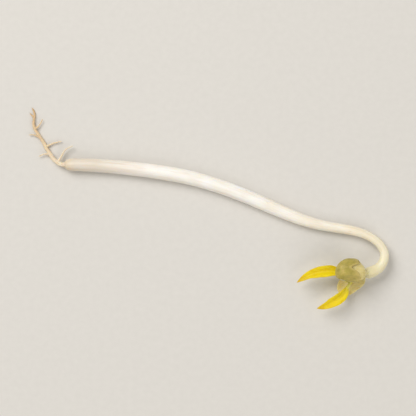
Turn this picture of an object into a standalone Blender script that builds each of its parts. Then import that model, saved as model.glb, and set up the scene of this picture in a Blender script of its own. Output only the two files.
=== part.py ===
"""A mung bean sprout lying on its side, in metres with +Z up.

The root is at -X and the head at +X. The long white stem lies on the surface, and its neck hooks round to
the joint that carries the two halves of the bean. Between them a short shoot holds the two folded first
leaves, and the split green skin of the bean clings to the upper half.
"""

import math
import random

import bmesh
import bpy
import numpy as np
from mathutils import Euler, Matrix, Vector

MM = 0.001

# Gap kept all round a piece that sits in another.
CLEARANCE = 0.1 * MM
# How close to the surface the head comes down.
TOUCH = 0.01 * MM
# Faces that meet at less than this angle are shaded smooth.
SMOOTH_UP_TO = math.radians(50)

# The stem's axis from the root end to the joint of the seed leaves: x, y, lift and diameter in millimetres.
# Lift is the height of the underside above the surface. It is a little below it where it is pressed flat.
STEM_AXIS = (
    (0.0, 0.0, 0.22, 2.36),
    (3.6, -0.04, 0.06, 2.44),
    (7.2, -0.22, -0.05, 2.52),
    (14.4, -0.95, -0.05, 2.70),
    (21.6, -2.05, -0.05, 2.74),
    (28.8, -3.95, -0.05, 2.72),
    (36.0, -6.65, -0.05, 2.70),
    (43.2, -9.75, -0.05, 2.40),
    (48.0, -11.35, -0.03, 2.14),
    (52.2, -12.15, 0.12, 1.94),
    (56.2, -12.95, 0.50, 1.80),
    (59.5, -14.70, 1.00, 1.72),
    (60.9, -17.20, 1.45, 1.74),
    (59.9, -19.60, 1.62, 1.98),
    (57.4, -20.80, 1.58, 2.40),
)
STEM_SIDES = 20
STEM_RING_SPACING = 1.1 * MM
HOOK_RING_SPACING = 0.7 * MM
END_RING_SPACING = 0.3 * MM
# The hook takes up this much of the stem's length, from the joint back.
HOOK_LENGTH = 15.0 * MM
# Four faint ridges run along the stem and turn slowly round it.
RIDGES = 4
RIDGE_HEIGHT = 0.022
RIDGE_LENGTH = 109.0 * MM
# Two slow swellings, each as a share of the radius and the length in which it comes and goes.
SWELLING = (0.012, 3.1 * MM)
SIDE_SWELLING = (0.010, 5.7 * MM)
# Both ends are rounded over a length, down to a lip that is a share of the full radius.
COLLAR_SHOULDER = 1.7 * MM
COLLAR_LIP = 0.62
JOINT_SHOULDER = 0.9 * MM
JOINT_LIP = 0.74

# The root's axis from just outside the stem's end outwards, in the same four columns.
ROOT_AXIS = (
    (-1.10, 0.16, 0.70, 0.90),
    (-1.95, 0.74, 0.50, 0.84),
    (-2.85, 1.80, 0.28, 0.78),
    (-3.85, 3.35, 0.12, 0.72),
    (-4.75, 5.00, 0.14, 0.64),
    (-5.75, 6.45, 0.26, 0.58),
    (-6.25, 8.05, 0.16, 0.50),
    (-6.05, 9.60, 0.05, 0.40),
    (-6.55, 11.00, 0.02, 0.28),
)
ROOT_PLUG = 0.86 * MM
ROOT_PLUG_DEPTH = 1.30 * MM
ROOT_NECK = 0.45 * MM
ROOT_SIDES = 10
ROOT_RING_SPACING = 0.42 * MM
# The smooth stretch of the root in and near its socket.
ROOT_SMOOTH = 0.30 * MM
# The root's knobbles: their height as a share of the radius, their length, and how fast they turn round it.
ROOT_KNOBBLE = 0.07
KNOBBLE_LENGTH = 0.52 * MM
KNOBBLE_TURN = 1.3 * MM

# Side roots: how far along the root each leaves it, its heading in degrees from +X, and its length and
# thickness in millimetres.
SIDE_ROOTS = (
    (0.20, 62.0, 4.6, 0.46),
    (0.34, 186.0, 2.4, 0.36),
    (0.46, 30.0, 3.3, 0.38),
    (0.60, 158.0, 2.3, 0.34),
    (0.72, 46.0, 2.5, 0.34),
    (0.86, 140.0, 1.4, 0.30),
)
SIDE_ROOT_SIDES = 6
SIDE_ROOT_STEPS = 6
# How much of its thickness a side root loses at each step, and how far it may turn, sink and rise.
SIDE_ROOT_THINNING = 0.08
SIDE_ROOT_TURN = 0.30
SIDE_ROOT_SINK = 0.10 * MM
SIDE_ROOT_RISE = 0.02 * MM
SIDE_ROOT_SEED = 7

# The two halves of the bean.
SEED_LEAF_LENGTH = 5.7 * MM
SEED_LEAF_WIDTH = 3.8 * MM
SEED_LEAF_BACK = 1.62 * MM
SEED_LEAF_FACE = 0.34 * MM
SEED_LEAF_HOLLOW = 0.42 * MM
SEED_LEAF_BEND = 0.42 * MM
SEED_LEAF_BLUNTNESS = 0.84
# How full the half's back is: under 1 it is fuller than an ellipse.
SEED_LEAF_FULLNESS = 0.9
SEED_LEAF_STALK = 0.80 * MM
SEED_LEAF_STALK_LENGTH = 1.0 * MM
# The stalk's rings: share of its length, swelling, share of the way out to the half's own line.
STALK_RINGS = ((0.0, 1.0, 0.0), (0.42, 1.0, 0.03), (0.76, 1.15, 0.5), (1.0, 1.38, 1.0))
# Where round the half, in degrees from its stalk, its first and last rings lie.
SEED_LEAF_FIRST = 24.0
SEED_LEAF_LAST = 172.0
# How far the half stands out from the line of its stalk.
SEED_LEAF_OFFSET = 0.42 * MM
SEED_LEAF_SIDES = 18
SEED_LEAF_RINGS = 13
# How far each stalk reaches into the stem's joint.
STALK_DEPTH = 0.27 * MM
STALK_SOCKET = 1.0 * MM

# The bean's skin, which caps the outer end of the upper half.
SKIN_THICKNESS = 0.3 * MM
SKIN_GAP = 0.13 * MM
SKIN_REACH = 0.56
SKIN_SLACK = 0.75 * MM
# By how much the slack grows towards the torn edge, as a share of it.
SKIN_SPREAD = 0.25
SKIN_RINGS = 7
# The rim between the skin's two faces stands out by a share of the skin's reach.
SKIN_RIM = 1.03
# Where round the half, in degrees from its stalk, the skin starts.
SKIN_FAR_END = 174.0
# The torn edge's waves: height as a share of the skin's reach, number round it, and phase.
TEARS = ((0.11, 2, 0.6), (0.08, 5, 1.9), (0.05, 9, 0.0))

# The shoot between the halves.
SHOOT_AXIS = (
    (0.80, 0.0, 0.80),
    (0.0, 0.0, 0.80),
    (-0.55, 0.0, 0.76),
    (-1.6, -0.03, 0.90),
    (-2.6, -0.10, 1.00),
    (-3.2, -0.16, 1.26),
    (-3.65, -0.20, 1.04),
    (-4.0, -0.22, 0.62),
    (-4.45, -0.25, 0.26),
)
SHOOT_PLUG = 0.80 * MM
SHOOT_PLUG_DEPTH = 0.80 * MM
SHOOT_SIDES = 14
SHOOT_RING_SPACING = 0.42 * MM
# The bud widens sideways by a share of its radius, round this place on the shoot's axis, over this length.
BUD_WIDENING = 0.30
BUD_PLACE = -3.4 * MM
BUD_LENGTH = 0.55 * MM

# The folded first leaves, measured along the midrib.
BLADE_THICKNESS = 0.6 * MM
MIDRIB_THICKNESS = 0.24 * MM
MIDRIB_HALF_WIDTH = 0.35 * MM
PETIOLE = 0.62 * MM
PETIOLE_LENGTH = 1.3 * MM
PETIOLE_SOCKET = 1.5 * MM
# The petiole's rings, each as a share of its length and its swelling there.
PETIOLE_RINGS = ((0.0, 1.0), (0.42, 1.06), (0.78, 1.12))
LEAF_RINGS = 19
LEAF_HALF_POINTS = 5
# The leaf is widest at this share of its length, and its outline is fuller than a sine towards foot and tip.
LEAF_WIDEST = 0.38
FOOT_FULLNESS = 0.80
TIP_FULLNESS = 0.85
# The part of the blade's length that the rings cover, so that neither end shrinks to nothing.
LEAF_FOOT = 0.03
LEAF_SPAN = 0.955
# Each leaf's length and half width in metres, fold, bend and droop in radians, and the phase of its waves.
LONG_LEAF = (9.2 * MM, 1.35 * MM, math.radians(60), 0.95, 0.40, 0.4)
SHORT_LEAF = (7.4 * MM, 1.25 * MM, math.radians(54), -0.80, 0.22, 2.2)
# The blade's long wave, in radians, and how many radians of it there are along the leaf.
LEAF_WAVE = 0.17
LEAF_WAVES = 9.0
# How far the blade twists along its length, in radians.
LEAF_TWIST = 0.35
# Across each half of the blade: how quickly the fold reaches its slope beside the midrib, and from where to
# the edge it eases off again, by which share.
FOLD_RISE = 2.4
FOLD_EASES_FROM = 0.6
FOLD_EASES_BY = 0.45
# The fold is less where the blade is narrower than this share of its widest, and opens by a share to the tip.
FOLD_FULL_WIDTH = 0.62
FOLD_OPENS_BY = 0.35

# How the head's pieces grow from the joint: how far back the stalks of the halves leave it, and how far out
# as a share of its radius.
STALKS_BACK = 0.40 * MM
STALKS_OUT = 0.95
# Turn, slope and roll of each piece against the joint's heading, in degrees.
UPPER_POSE = (-24, 17, 0)
LOWER_POSE = (17, 1, 0)
LONG_LEAF_POSE = (-36, 5, 16)
SHORT_LEAF_POSE = (42, 0, -22)
# Where the leaves leave the bud: along the shoot from the joint, and to either side.
BUD_REACH = 3.1 * MM
BUD_SIDE = 0.42 * MM

STEM_COLOUR = "#F6F0E3"
ROOT_COLOUR = "#DDBD8C"
SEED_LEAF_COLOUR = "#EADCA0"
SHOOT_COLOUR = "#F0E9B8"
LEAF_COLOUR = "#E8CE14"
SKIN_COLOUR = "#A39A45"


def linear(hex_colour):
    """Turn an sRGB hex colour into the linear RGBA that a shader takes."""
    parts = [int(hex_colour[i : i + 2], 16) / 255 for i in (1, 3, 5)]
    return [c / 12.92 if c <= 0.04045 else ((c + 0.055) / 1.055) ** 2.4 for c in parts] + [1.0]


def plant_material(name, hex_colour, roughness):
    """A moist plant surface of one colour."""
    material = bpy.data.materials.new(name)
    material.use_nodes = True
    shader = material.node_tree.nodes["Principled BSDF"]
    shader.inputs["Base Color"].default_value = linear(hex_colour)
    shader.inputs["Roughness"].default_value = roughness
    shader.inputs["Metallic"].default_value = 0.0
    return material


class Axis:
    """A smooth curve through rows of numbers, measured along its first three columns."""

    def __init__(self, rows):
        self.rows = np.array(rows, dtype=float)
        steps = np.linalg.norm(np.diff(self.rows[:, :3], axis=0), axis=1)
        self.at = np.concatenate(([0.0], np.cumsum(steps)))
        self.length = float(self.at[-1])
        self.bends = self.second_derivatives()

    def second_derivatives(self):
        """Solve the natural cubic spline through the rows."""
        count = len(self.rows)
        gaps = np.diff(self.at)
        matrix = np.eye(count)
        right = np.zeros_like(self.rows)
        for i in range(1, count - 1):
            matrix[i, i - 1] = gaps[i - 1]
            matrix[i, i] = 2 * (gaps[i - 1] + gaps[i])
            matrix[i, i + 1] = gaps[i]
            rise = (self.rows[i + 1] - self.rows[i]) / gaps[i]
            fall = (self.rows[i] - self.rows[i - 1]) / gaps[i - 1]
            right[i] = 6 * (rise - fall)
        return np.linalg.solve(matrix, right)

    def value(self, s):
        """The row at a distance along the curve."""
        s = min(max(s, 0.0), self.length)
        i = min(int(np.searchsorted(self.at, s, side="right")) - 1, len(self.at) - 2)
        gap = self.at[i + 1] - self.at[i]
        b = (s - self.at[i]) / gap
        a = 1 - b
        bend = ((a**3 - a) * self.bends[i] + (b**3 - b) * self.bends[i + 1]) * gap * gap / 6
        return (a * self.rows[i] + b * self.rows[i + 1] + bend).tolist()

    def frame(self, s):
        """Centre, direction, sideways and upward vectors at a distance along the curve."""
        step = self.length * 1e-4
        ahead = Vector(self.value(s + step)[:3])
        behind = Vector(self.value(s - step)[:3])
        along = (ahead - behind).normalized()
        side = along.cross(Vector((0, 0, 1))).normalized()
        return Vector(self.value(s)[:3]), along, side, side.cross(along)


def lying_axis(rows):
    """Turn rows of x, y, lift and diameter in millimetres into an axis with its centre height, in metres."""
    return Axis([(x * MM, y * MM, (lift + width / 2) * MM, width * MM) for x, y, lift, width in rows])


def stations(start, end, spacing):
    """Even distances from start to end, both included."""
    count = max(2, round(abs(end - start) / spacing) + 1)
    return [start + (end - start) * i / (count - 1) for i in range(count)]


def grown_object(name, rings, material):
    """Skin a closed solid over rings of points by extruding one ring along the others."""
    bm = bmesh.new()
    ring = bmesh.ops.create_circle(bm, segments=len(rings[0]), radius=MM)["verts"]
    for vert, point in zip(ring, rings[0]):
        vert.co = point
    edges = bm.edges[:]
    first = edges
    for points in rings[1:]:
        geometry = bmesh.ops.extrude_edge_only(bm, edges=edges)["geom"]
        new = {item for item in geometry if isinstance(item, bmesh.types.BMVert)}
        ring = [next(e.other_vert(v) for e in v.link_edges if e.other_vert(v) in new) for v in ring]
        for vert, point in zip(ring, points):
            vert.co = point
        edges = [bm.edges.get((ring[i - 1], ring[i])) for i in range(len(ring))]
    caps = bmesh.ops.holes_fill(bm, edges=first + edges, sides=len(ring))["faces"]
    bmesh.ops.poke(bm, faces=caps)
    bmesh.ops.recalc_face_normals(bm, faces=bm.faces[:])
    mesh = bpy.data.meshes.new(name)
    bm.to_mesh(mesh)
    bm.free()
    mesh.shade_smooth()
    mesh.set_sharp_from_angle(angle=SMOOTH_UP_TO)
    mesh.materials.append(material)
    piece = bpy.data.objects.new(name, mesh)
    bpy.context.scene.collection.objects.link(piece)
    return piece


def shoulder(s, length, reach, lip):
    """Round the end of a stem over its reach, down to the lip's share of the full radius."""
    if s >= reach:
        return 1.0
    return lip + (1 - lip) * math.sqrt(1 - (1 - s / reach) ** 2)


def ring_round(axis, s, radius, sides, shape=None):
    """A ring of points across an axis, kept above the surface."""
    centre, _, side, up = axis.frame(s)
    points = []
    for k in range(sides):
        angle = 2 * math.pi * (k + 0.5) / sides
        reach = radius * (shape(s, angle) if shape else 1.0)
        point = centre + reach * (math.cos(angle) * side + math.sin(angle) * up)
        point.z = max(point.z, 0.0)
        points.append(point)
    return points


def stem_ridges(s, angle):
    """Faint ridges and a slight unevenness of the stem."""
    ridge = RIDGE_HEIGHT * math.cos(RIDGES * angle + 2 * math.pi * s / RIDGE_LENGTH)
    swelling = SWELLING[0] * math.sin(s / SWELLING[1])
    side_swelling = SIDE_SWELLING[0] * math.sin(s / SIDE_SWELLING[1] + angle)
    return 1 + ridge + swelling + side_swelling


def hypocotyl(axis, material):
    """The stem, with a socket for the root at one end and one for the shoot at the other."""
    root_socket = ROOT_PLUG / 2 + CLEARANCE
    shoot_socket = SHOOT_PLUG / 2 + CLEARANCE
    end = axis.length
    rings = [ring_round(axis, s, root_socket, STEM_SIDES) for s in (ROOT_PLUG_DEPTH + CLEARANCE, 0.0)]
    distances = stations(0.0, COLLAR_SHOULDER, END_RING_SPACING)[:-1]
    distances += stations(COLLAR_SHOULDER, end - HOOK_LENGTH, STEM_RING_SPACING)[:-1]
    distances += stations(end - HOOK_LENGTH, end - JOINT_SHOULDER, HOOK_RING_SPACING)
    distances += stations(end - JOINT_SHOULDER, end, END_RING_SPACING)[1:]
    for s in distances:
        radius = axis.value(s)[3] / 2
        radius *= shoulder(s, end, COLLAR_SHOULDER, COLLAR_LIP)
        radius *= shoulder(end - s, end, JOINT_SHOULDER, JOINT_LIP)
        rings.append(ring_round(axis, s, radius, STEM_SIDES, stem_ridges))
    for s in (end, end - SHOOT_PLUG_DEPTH - CLEARANCE):
        rings.append(ring_round(axis, s, shoot_socket, STEM_SIDES))
    return grown_object("hypocotyl", rings, material)


def root_knobbles(s, angle):
    """The root's uneven thickness."""
    return 1 + ROOT_KNOBBLE * math.sin(s / KNOBBLE_LENGTH) * math.cos(angle + s / KNOBBLE_TURN)


def root_axis(stem_axis):
    """The root's axis, which starts inside the stem's end and runs straight out of it at first."""
    rows = [stem_axis.value(share * ROOT_PLUG_DEPTH)[:3] + [ROOT_PLUG] for share in (1.0, 0.5, 0.0)]
    centre, along, _, _ = stem_axis.frame(0.0)
    rows.append([*(centre - ROOT_NECK * along), ROOT_PLUG])
    return Axis(rows + lying_axis(ROOT_AXIS).rows.tolist())


def taproot(axis, material):
    """The root with its side roots joined on."""
    start = ROOT_PLUG_DEPTH + ROOT_SMOOTH
    rings = [ring_round(axis, s, axis.value(s)[3] / 2, ROOT_SIDES) for s in stations(0.0, start, start / 2)]
    for s in stations(start + ROOT_SMOOTH, axis.length, ROOT_RING_SPACING):
        rings.append(ring_round(axis, s, axis.value(s)[3] / 2, ROOT_SIDES, root_knobbles))
    root = grown_object("taproot", rings, material)
    side_roots = bpy.data.collections.new("side_roots")
    bpy.context.scene.collection.children.link(side_roots)
    draw = random.Random(SIDE_ROOT_SEED)
    for share, heading, length, width in SIDE_ROOTS:
        piece = side_root(axis, share, heading, length * MM, width * MM, draw, material)
        bpy.context.scene.collection.objects.unlink(piece)
        side_roots.objects.link(piece)
    join_collection(root, side_roots)
    return root


def side_root(axis, share, heading, length, width, draw, material):
    """A thin side root that starts deep in the root and bends as it goes."""
    start = Vector(axis.value(share * axis.length)[:3])
    turn = math.radians(heading)
    point = start.copy()
    rows = []
    for i in range(SIDE_ROOT_STEPS + 1):
        thick = width * (1 - SIDE_ROOT_THINNING * i)
        rows.append((*point, thick))
        turn += draw.uniform(-SIDE_ROOT_TURN, SIDE_ROOT_TURN)
        point = point + Vector((math.cos(turn), math.sin(turn), 0)) * length / SIDE_ROOT_STEPS
        point.z = max(start.z + draw.uniform(-SIDE_ROOT_SINK, SIDE_ROOT_RISE), thick / 2 + 2 * TOUCH)
    side = Axis(rows)
    rings = [ring_round(side, s, side.value(s)[3] / 2, SIDE_ROOT_SIDES) for s in side.at]
    return grown_object("side_root", rings, material)


def join_collection(body, collection):
    """Join a collection's solids to a body with one union, then remove them."""
    union = body.modifiers.new("side_roots", "BOOLEAN")
    union.operation = "UNION"
    union.solver = "EXACT"
    union.operand_type = "COLLECTION"
    union.collection = collection
    apply_modifiers(body)
    for piece in list(collection.objects):
        bpy.data.objects.remove(piece)
    bpy.data.collections.remove(collection)


def apply_modifiers(body):
    """Bake an object's modifiers into its mesh."""
    graph = bpy.context.evaluated_depsgraph_get()
    mesh = bpy.data.meshes.new_from_object(body.evaluated_get(graph))
    body.modifiers.clear()
    body.data = mesh


def seed_leaf_point(turn, angle, grow, side):
    """A point on half a bean: turn runs from its stalk to its far end, and angle round its section."""
    cosine = math.cos(turn)
    half_length = SEED_LEAF_LENGTH / 2 + grow
    x = -half_length * math.copysign(abs(cosine) ** SEED_LEAF_BLUNTNESS, cosine)
    girth = math.sin(turn) ** SEED_LEAF_BLUNTNESS
    y = (SEED_LEAF_WIDTH / 2 + grow) * girth * math.cos(angle)
    height = math.sin(angle)
    if height > 0:
        z = (SEED_LEAF_BACK + grow) * girth * height**SEED_LEAF_FULLNESS
    else:
        z = (SEED_LEAF_FACE + grow) * girth * height + SEED_LEAF_HOLLOW * girth**2 * height**2
    y += SEED_LEAF_BEND * ((2 * x / SEED_LEAF_LENGTH) ** 2 - 0.5)
    return Vector((x + SEED_LEAF_LENGTH / 2 + SEED_LEAF_STALK_LENGTH, y, side * (z + SEED_LEAF_OFFSET)))


def seed_leaf(name, side, material):
    """Half a bean with its back towards +Z or -Z, and its stalk starting at the object's origin."""
    angles = [2 * math.pi * k / SEED_LEAF_SIDES for k in range(SEED_LEAF_SIDES)]
    lean = SEED_LEAF_BEND / 2
    rings = []
    for x, swell, rise in STALK_RINGS:
        radius = SEED_LEAF_STALK / 2 * swell
        middle = Vector((x * SEED_LEAF_STALK_LENGTH, lean * rise, side * SEED_LEAF_OFFSET * rise))
        rings.append([middle + radius * Vector((0, math.cos(a), side * math.sin(a))) for a in angles])
    step = (SEED_LEAF_LAST - SEED_LEAF_FIRST) / (SEED_LEAF_RINGS - 1)
    for turn in stations(SEED_LEAF_FIRST, SEED_LEAF_LAST, step):
        rings.append([seed_leaf_point(math.radians(turn), a, 0.0, side) for a in angles])
    return grown_object(name, rings, material)


def torn_edge(angle):
    """How far the torn edge of the skin lies beyond its mean line, as a share of its reach."""
    return sum(height * math.sin(count * angle + phase) for height, count, phase in TEARS)


def skin_point(share, angle, grow):
    """A point on the bean's skin: share runs from the far end of the bean to the torn edge."""
    far = math.radians(SKIN_FAR_END)
    edge = math.pi * (1 - SKIN_REACH * (1 + torn_edge(angle)))
    turn = far + (edge - far) * share
    point = seed_leaf_point(turn, angle, grow, 1)
    height = math.sin(angle)
    if height < 0:
        point.z += SKIN_SLACK * height * math.sin(turn) * (1 + SKIN_SPREAD * share)
    return point


def seed_coat(material):
    """The split skin of the bean, a thin loose cap over the outer end of its upper half."""
    angles = [2 * math.pi * k / SEED_LEAF_SIDES for k in range(SEED_LEAF_SIDES)]
    inner = SKIN_GAP
    outer = inner + SKIN_THICKNESS
    shares = [i / (SKIN_RINGS - 1) for i in range(SKIN_RINGS)]
    rings = [[skin_point(share, a, inner) for a in angles] for share in shares]
    middle = (inner + outer) / 2
    rings.append([skin_point(SKIN_RIM, a, middle) for a in angles])
    rings += [[skin_point(share, a, outer) for a in angles] for share in reversed(shares)]
    return grown_object("seed_coat", rings, material)


def epicotyl(place, material):
    """The short shoot with the bud at its tip, built along -X from the joint and then placed."""
    axis = Axis([(x * MM, y * MM, 0.0, width * MM) for x, y, width in SHOOT_AXIS])
    rings = []
    for s in stations(0.0, axis.length, SHOOT_RING_SPACING):
        centre, _, side, up = axis.frame(s)
        radius = axis.value(s)[3] / 2
        spread = 1 + BUD_WIDENING * math.exp(-(((centre.x - BUD_PLACE) / BUD_LENGTH) ** 2))
        angles = [2 * math.pi * (k + 0.5) / SHOOT_SIDES for k in range(SHOOT_SIDES)]
        rings.append([centre + radius * (spread * math.cos(a) * side + math.sin(a) * up) for a in angles])
    shoot = grown_object("epicotyl", rings, material)
    shoot.matrix_world = place
    return shoot


def leaf_outline(share):
    """Half the leaf's unfolded width at a share of its length, as a share of the widest."""
    rise = math.sin(math.pi * min(share / LEAF_WIDEST, 1) / 2) ** FOOT_FULLNESS
    fall = math.cos(math.pi * max(share - LEAF_WIDEST, 0) / (2 * (1 - LEAF_WIDEST))) ** TIP_FULLNESS
    return max(rise * fall, 0.0)


def leaf_section(half_width, fold, wave, thickness, rib):
    """The folded blade's section, once along its upper face and back along its lower face."""
    middle = []
    strips = LEAF_HALF_POINTS - 1
    for side in (-1, 1):
        y = z = 0.0
        half = [(0.0, 0.0, 0.0)]
        for k in range(1, LEAF_HALF_POINTS):
            share = k / strips
            eased = max(share - FOLD_EASES_FROM, 0) / (1 - FOLD_EASES_FROM)
            slope = fold * (min(1.0, FOLD_RISE * (k - 0.5) / strips) - FOLD_EASES_BY * eased)
            slope += side * wave * share
            y += half_width / strips * math.cos(slope)
            z += half_width / strips * math.sin(slope)
            half.append((side * y, z, side * slope))
        middle += half[:0:-1] if side < 0 else half
    upper, lower = [], []
    for y, z, slope in middle:
        normal = (-math.sin(slope), math.cos(slope))
        extra = rib * max(0.0, 1 - abs(y) / MIDRIB_HALF_WIDTH)
        upper.append((y + normal[0] * thickness / 2, z + normal[1] * thickness / 2))
        lower.append((y - normal[0] * (thickness / 2 + extra), z - normal[1] * (thickness / 2 + extra)))
    return upper + lower[::-1]


def folded_leaf(name, shape, material):
    """A folded first leaf on a short stalk that starts at the object's origin and runs along +X."""
    length, half_width, fold, bend, droop, phase = shape
    count = 4 * LEAF_HALF_POINTS - 2
    rings = []
    first_angle = math.pi * (0.5 + (count / 2 - 1) / count)
    angles = [first_angle - 2 * math.pi * k / count for k in range(count)]
    for x, swell in PETIOLE_RINGS:
        middle = Vector((x * PETIOLE_LENGTH, 0, 0))
        radius = PETIOLE / 2 * swell
        rings.append([middle + radius * Vector((0, math.cos(a), math.sin(a))) for a in angles])
    for i in range(LEAF_RINGS):
        share = i / (LEAF_RINGS - 1)
        width = half_width * leaf_outline(LEAF_FOOT + LEAF_SPAN * share)
        closed = min(1.0, width / (FOLD_FULL_WIDTH * half_width))
        angle = fold * closed * (1 - FOLD_OPENS_BY * share)
        wave = LEAF_WAVE * closed * math.sin(phase + LEAF_WAVES * share)
        section = leaf_section(width, angle, wave, BLADE_THICKNESS, MIDRIB_THICKNESS * (1 - share))
        turn = Euler((LEAF_TWIST * math.sin(phase) * share, -droop * share, bend * share), "XYZ").to_matrix()
        x = PETIOLE_LENGTH + length * math.sin(bend * share) / bend
        y = length * (1 - math.cos(bend * share)) / bend
        middle = Vector((x, y, -droop * length * share * share / 2))
        rings.append([middle + turn @ Vector((0, across, height)) for across, height in section])
    return grown_object(name, rings, material)


def socket(body, piece, radius, reach):
    """Cut a round socket in a body for the stalk of a piece, which starts at the piece's origin along +X."""
    bm = bmesh.new()
    ends = bmesh.ops.create_cone(
        bm,
        cap_ends=True,
        segments=SHOOT_SIDES,
        radius1=radius + CLEARANCE,
        radius2=radius + CLEARANCE,
        depth=reach,
        matrix=Matrix.Rotation(math.pi / 2, 4, "Y"),
    )
    bmesh.ops.translate(bm, verts=ends["verts"], vec=(reach / 2 - CLEARANCE, 0, 0))
    mesh = bpy.data.meshes.new(f"{piece.name}_socket")
    bm.to_mesh(mesh)
    bm.free()
    cutter = bpy.data.objects.new(f"{piece.name}_socket", mesh)
    bpy.context.scene.collection.objects.link(cutter)
    cutter.matrix_world = piece.matrix_world
    cutter.hide_render = True
    cutter.display_type = "WIRE"
    cut = body.modifiers.new(cutter.name, "BOOLEAN")
    cut.operation = "DIFFERENCE"
    cut.solver = "EXACT"
    cut.object = cutter
    return cutter


def posed(point, heading, pose):
    """A matrix that turns +X away from a heading, tips it up and rolls about it, in degrees, at a point."""
    turn, slope, roll = (math.radians(angle) for angle in pose)
    tilt = Euler((roll, -slope, math.radians(heading) + turn), "XYZ")
    return Matrix.Translation(point) @ tilt.to_matrix().to_4x4()


def heading_of(direction):
    """The heading of a direction seen from above, in degrees."""
    return math.degrees(math.atan2(direction.y, direction.x))


def rest_on_surface(piece):
    """Lower or raise a piece until it only just touches the surface."""
    lowest = min((piece.matrix_world @ v.co).z for v in piece.data.vertices)
    piece.matrix_world = Matrix.Translation((0, 0, TOUCH - lowest)) @ piece.matrix_world


def centre_on_box(pieces, holder):
    """Put the origin under the middle of the pieces' box by moving the empty that they hang on."""
    bpy.context.view_layer.update()
    graph = bpy.context.evaluated_depsgraph_get()
    corners = []
    for piece in pieces:
        mesh = piece.evaluated_get(graph).to_mesh()
        corners += [piece.matrix_world @ v.co for v in mesh.vertices]
    low = [min(p[i] for p in corners) for i in range(3)]
    high = [max(p[i] for p in corners) for i in range(3)]
    holder.location = (-(low[0] + high[0]) / 2, -(low[1] + high[1]) / 2, -low[2])
    print("moved by", [round(v / MM, 3) for v in holder.location], "mm")


def main():
    for old in list(bpy.data.objects):
        bpy.data.objects.remove(old)

    stem_white = plant_material("stem_white", STEM_COLOUR, 0.42)
    root_tan = plant_material("root_tan", ROOT_COLOUR, 0.6)
    bean_cream = plant_material("bean_cream", SEED_LEAF_COLOUR, 0.45)
    shoot_pale = plant_material("shoot_pale", SHOOT_COLOUR, 0.42)
    leaf_yellow = plant_material("leaf_yellow", LEAF_COLOUR, 0.48)
    skin_green = plant_material("skin_green", SKIN_COLOUR, 0.5)

    stem_axis = lying_axis(STEM_AXIS)
    stem = hypocotyl(stem_axis, stem_white)
    root = taproot(root_axis(stem_axis), root_tan)

    joint, along, side, up = stem_axis.frame(stem_axis.length)
    heading = heading_of(along)
    joint_radius = stem_axis.value(stem_axis.length)[3] / 2
    flank = joint - STALKS_BACK * along
    reach = (STALKS_OUT * joint_radius - STALK_DEPTH) * up
    upper = seed_leaf("cotyledon_upper", 1, bean_cream)
    upper.matrix_world = posed(flank + reach, heading, UPPER_POSE)
    lower = seed_leaf("cotyledon_lower", -1, bean_cream)
    lower.matrix_world = posed(flank - reach, heading, LOWER_POSE)
    rest_on_surface(lower)
    coat = seed_coat(skin_green)
    coat.matrix_world = upper.matrix_world
    shoot = epicotyl(posed(joint, heading, (180, 0, 0)), shoot_pale)
    bud = joint + BUD_REACH * along
    long_leaf = folded_leaf("leaf_long", LONG_LEAF, leaf_yellow)
    long_leaf.matrix_world = posed(bud + BUD_SIDE * side, heading, LONG_LEAF_POSE)
    short_leaf = folded_leaf("leaf_short", SHORT_LEAF, leaf_yellow)
    short_leaf.matrix_world = posed(bud - BUD_SIDE * side, heading, SHORT_LEAF_POSE)

    cutters = [
        socket(stem, upper, SEED_LEAF_STALK / 2, STALK_SOCKET),
        socket(stem, lower, SEED_LEAF_STALK / 2, STALK_SOCKET),
        socket(shoot, long_leaf, PETIOLE / 2, PETIOLE_SOCKET),
        socket(shoot, short_leaf, PETIOLE / 2, PETIOLE_SOCKET),
    ]
    pieces = [stem, root, upper, lower, coat, shoot, long_leaf, short_leaf]
    holder = bpy.data.objects.new("sprout", None)
    bpy.context.scene.collection.objects.link(holder)
    for piece in pieces + cutters:
        piece.parent = holder
    centre_on_box(pieces, holder)


main()
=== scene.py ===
# %% [markdown]
# # A mung bean sprout, seen from straight above
#
# The sprout is one long white stem with a tan root at one end. At the other end its neck hooks back on
# itself and carries the opened bean: two fleshy halves, a scrap of green skin, a short shoot and two
# yellow leaves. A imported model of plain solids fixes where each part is. This lesson grows a finer
# piece over each solid, gives each one its finish, and puts them on a pale floor under soft light.

import math
import random

import bmesh
import bpy
import numpy as np
from mathutils import Euler, Matrix, Vector, noise


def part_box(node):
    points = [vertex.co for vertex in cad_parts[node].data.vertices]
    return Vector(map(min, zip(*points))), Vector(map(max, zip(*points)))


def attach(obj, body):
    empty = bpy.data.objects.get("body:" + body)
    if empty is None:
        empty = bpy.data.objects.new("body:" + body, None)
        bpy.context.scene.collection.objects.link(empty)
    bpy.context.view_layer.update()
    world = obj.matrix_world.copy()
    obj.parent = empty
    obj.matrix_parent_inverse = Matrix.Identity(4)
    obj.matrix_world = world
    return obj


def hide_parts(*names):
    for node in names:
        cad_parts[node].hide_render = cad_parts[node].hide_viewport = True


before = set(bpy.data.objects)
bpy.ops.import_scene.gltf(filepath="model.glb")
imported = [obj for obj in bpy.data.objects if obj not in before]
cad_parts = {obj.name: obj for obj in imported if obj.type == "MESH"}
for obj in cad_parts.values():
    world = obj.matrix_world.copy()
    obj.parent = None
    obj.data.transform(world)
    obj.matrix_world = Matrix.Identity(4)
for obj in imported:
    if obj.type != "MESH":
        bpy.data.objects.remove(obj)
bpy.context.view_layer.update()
MM = 0.001
print("solids:", sorted(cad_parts))

# %% [markdown]
# ## The camera
#
# The picture is taken from straight above, so a camera that hangs over the middle of the sprout and
# isn't turned at all looks the right way, with +Y towards the top of the picture. A short lens close by
# would swell the head, which stands 7 mm high, so the camera has a long lens and stands back until the
# frame is just wider than the sprout.

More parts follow.
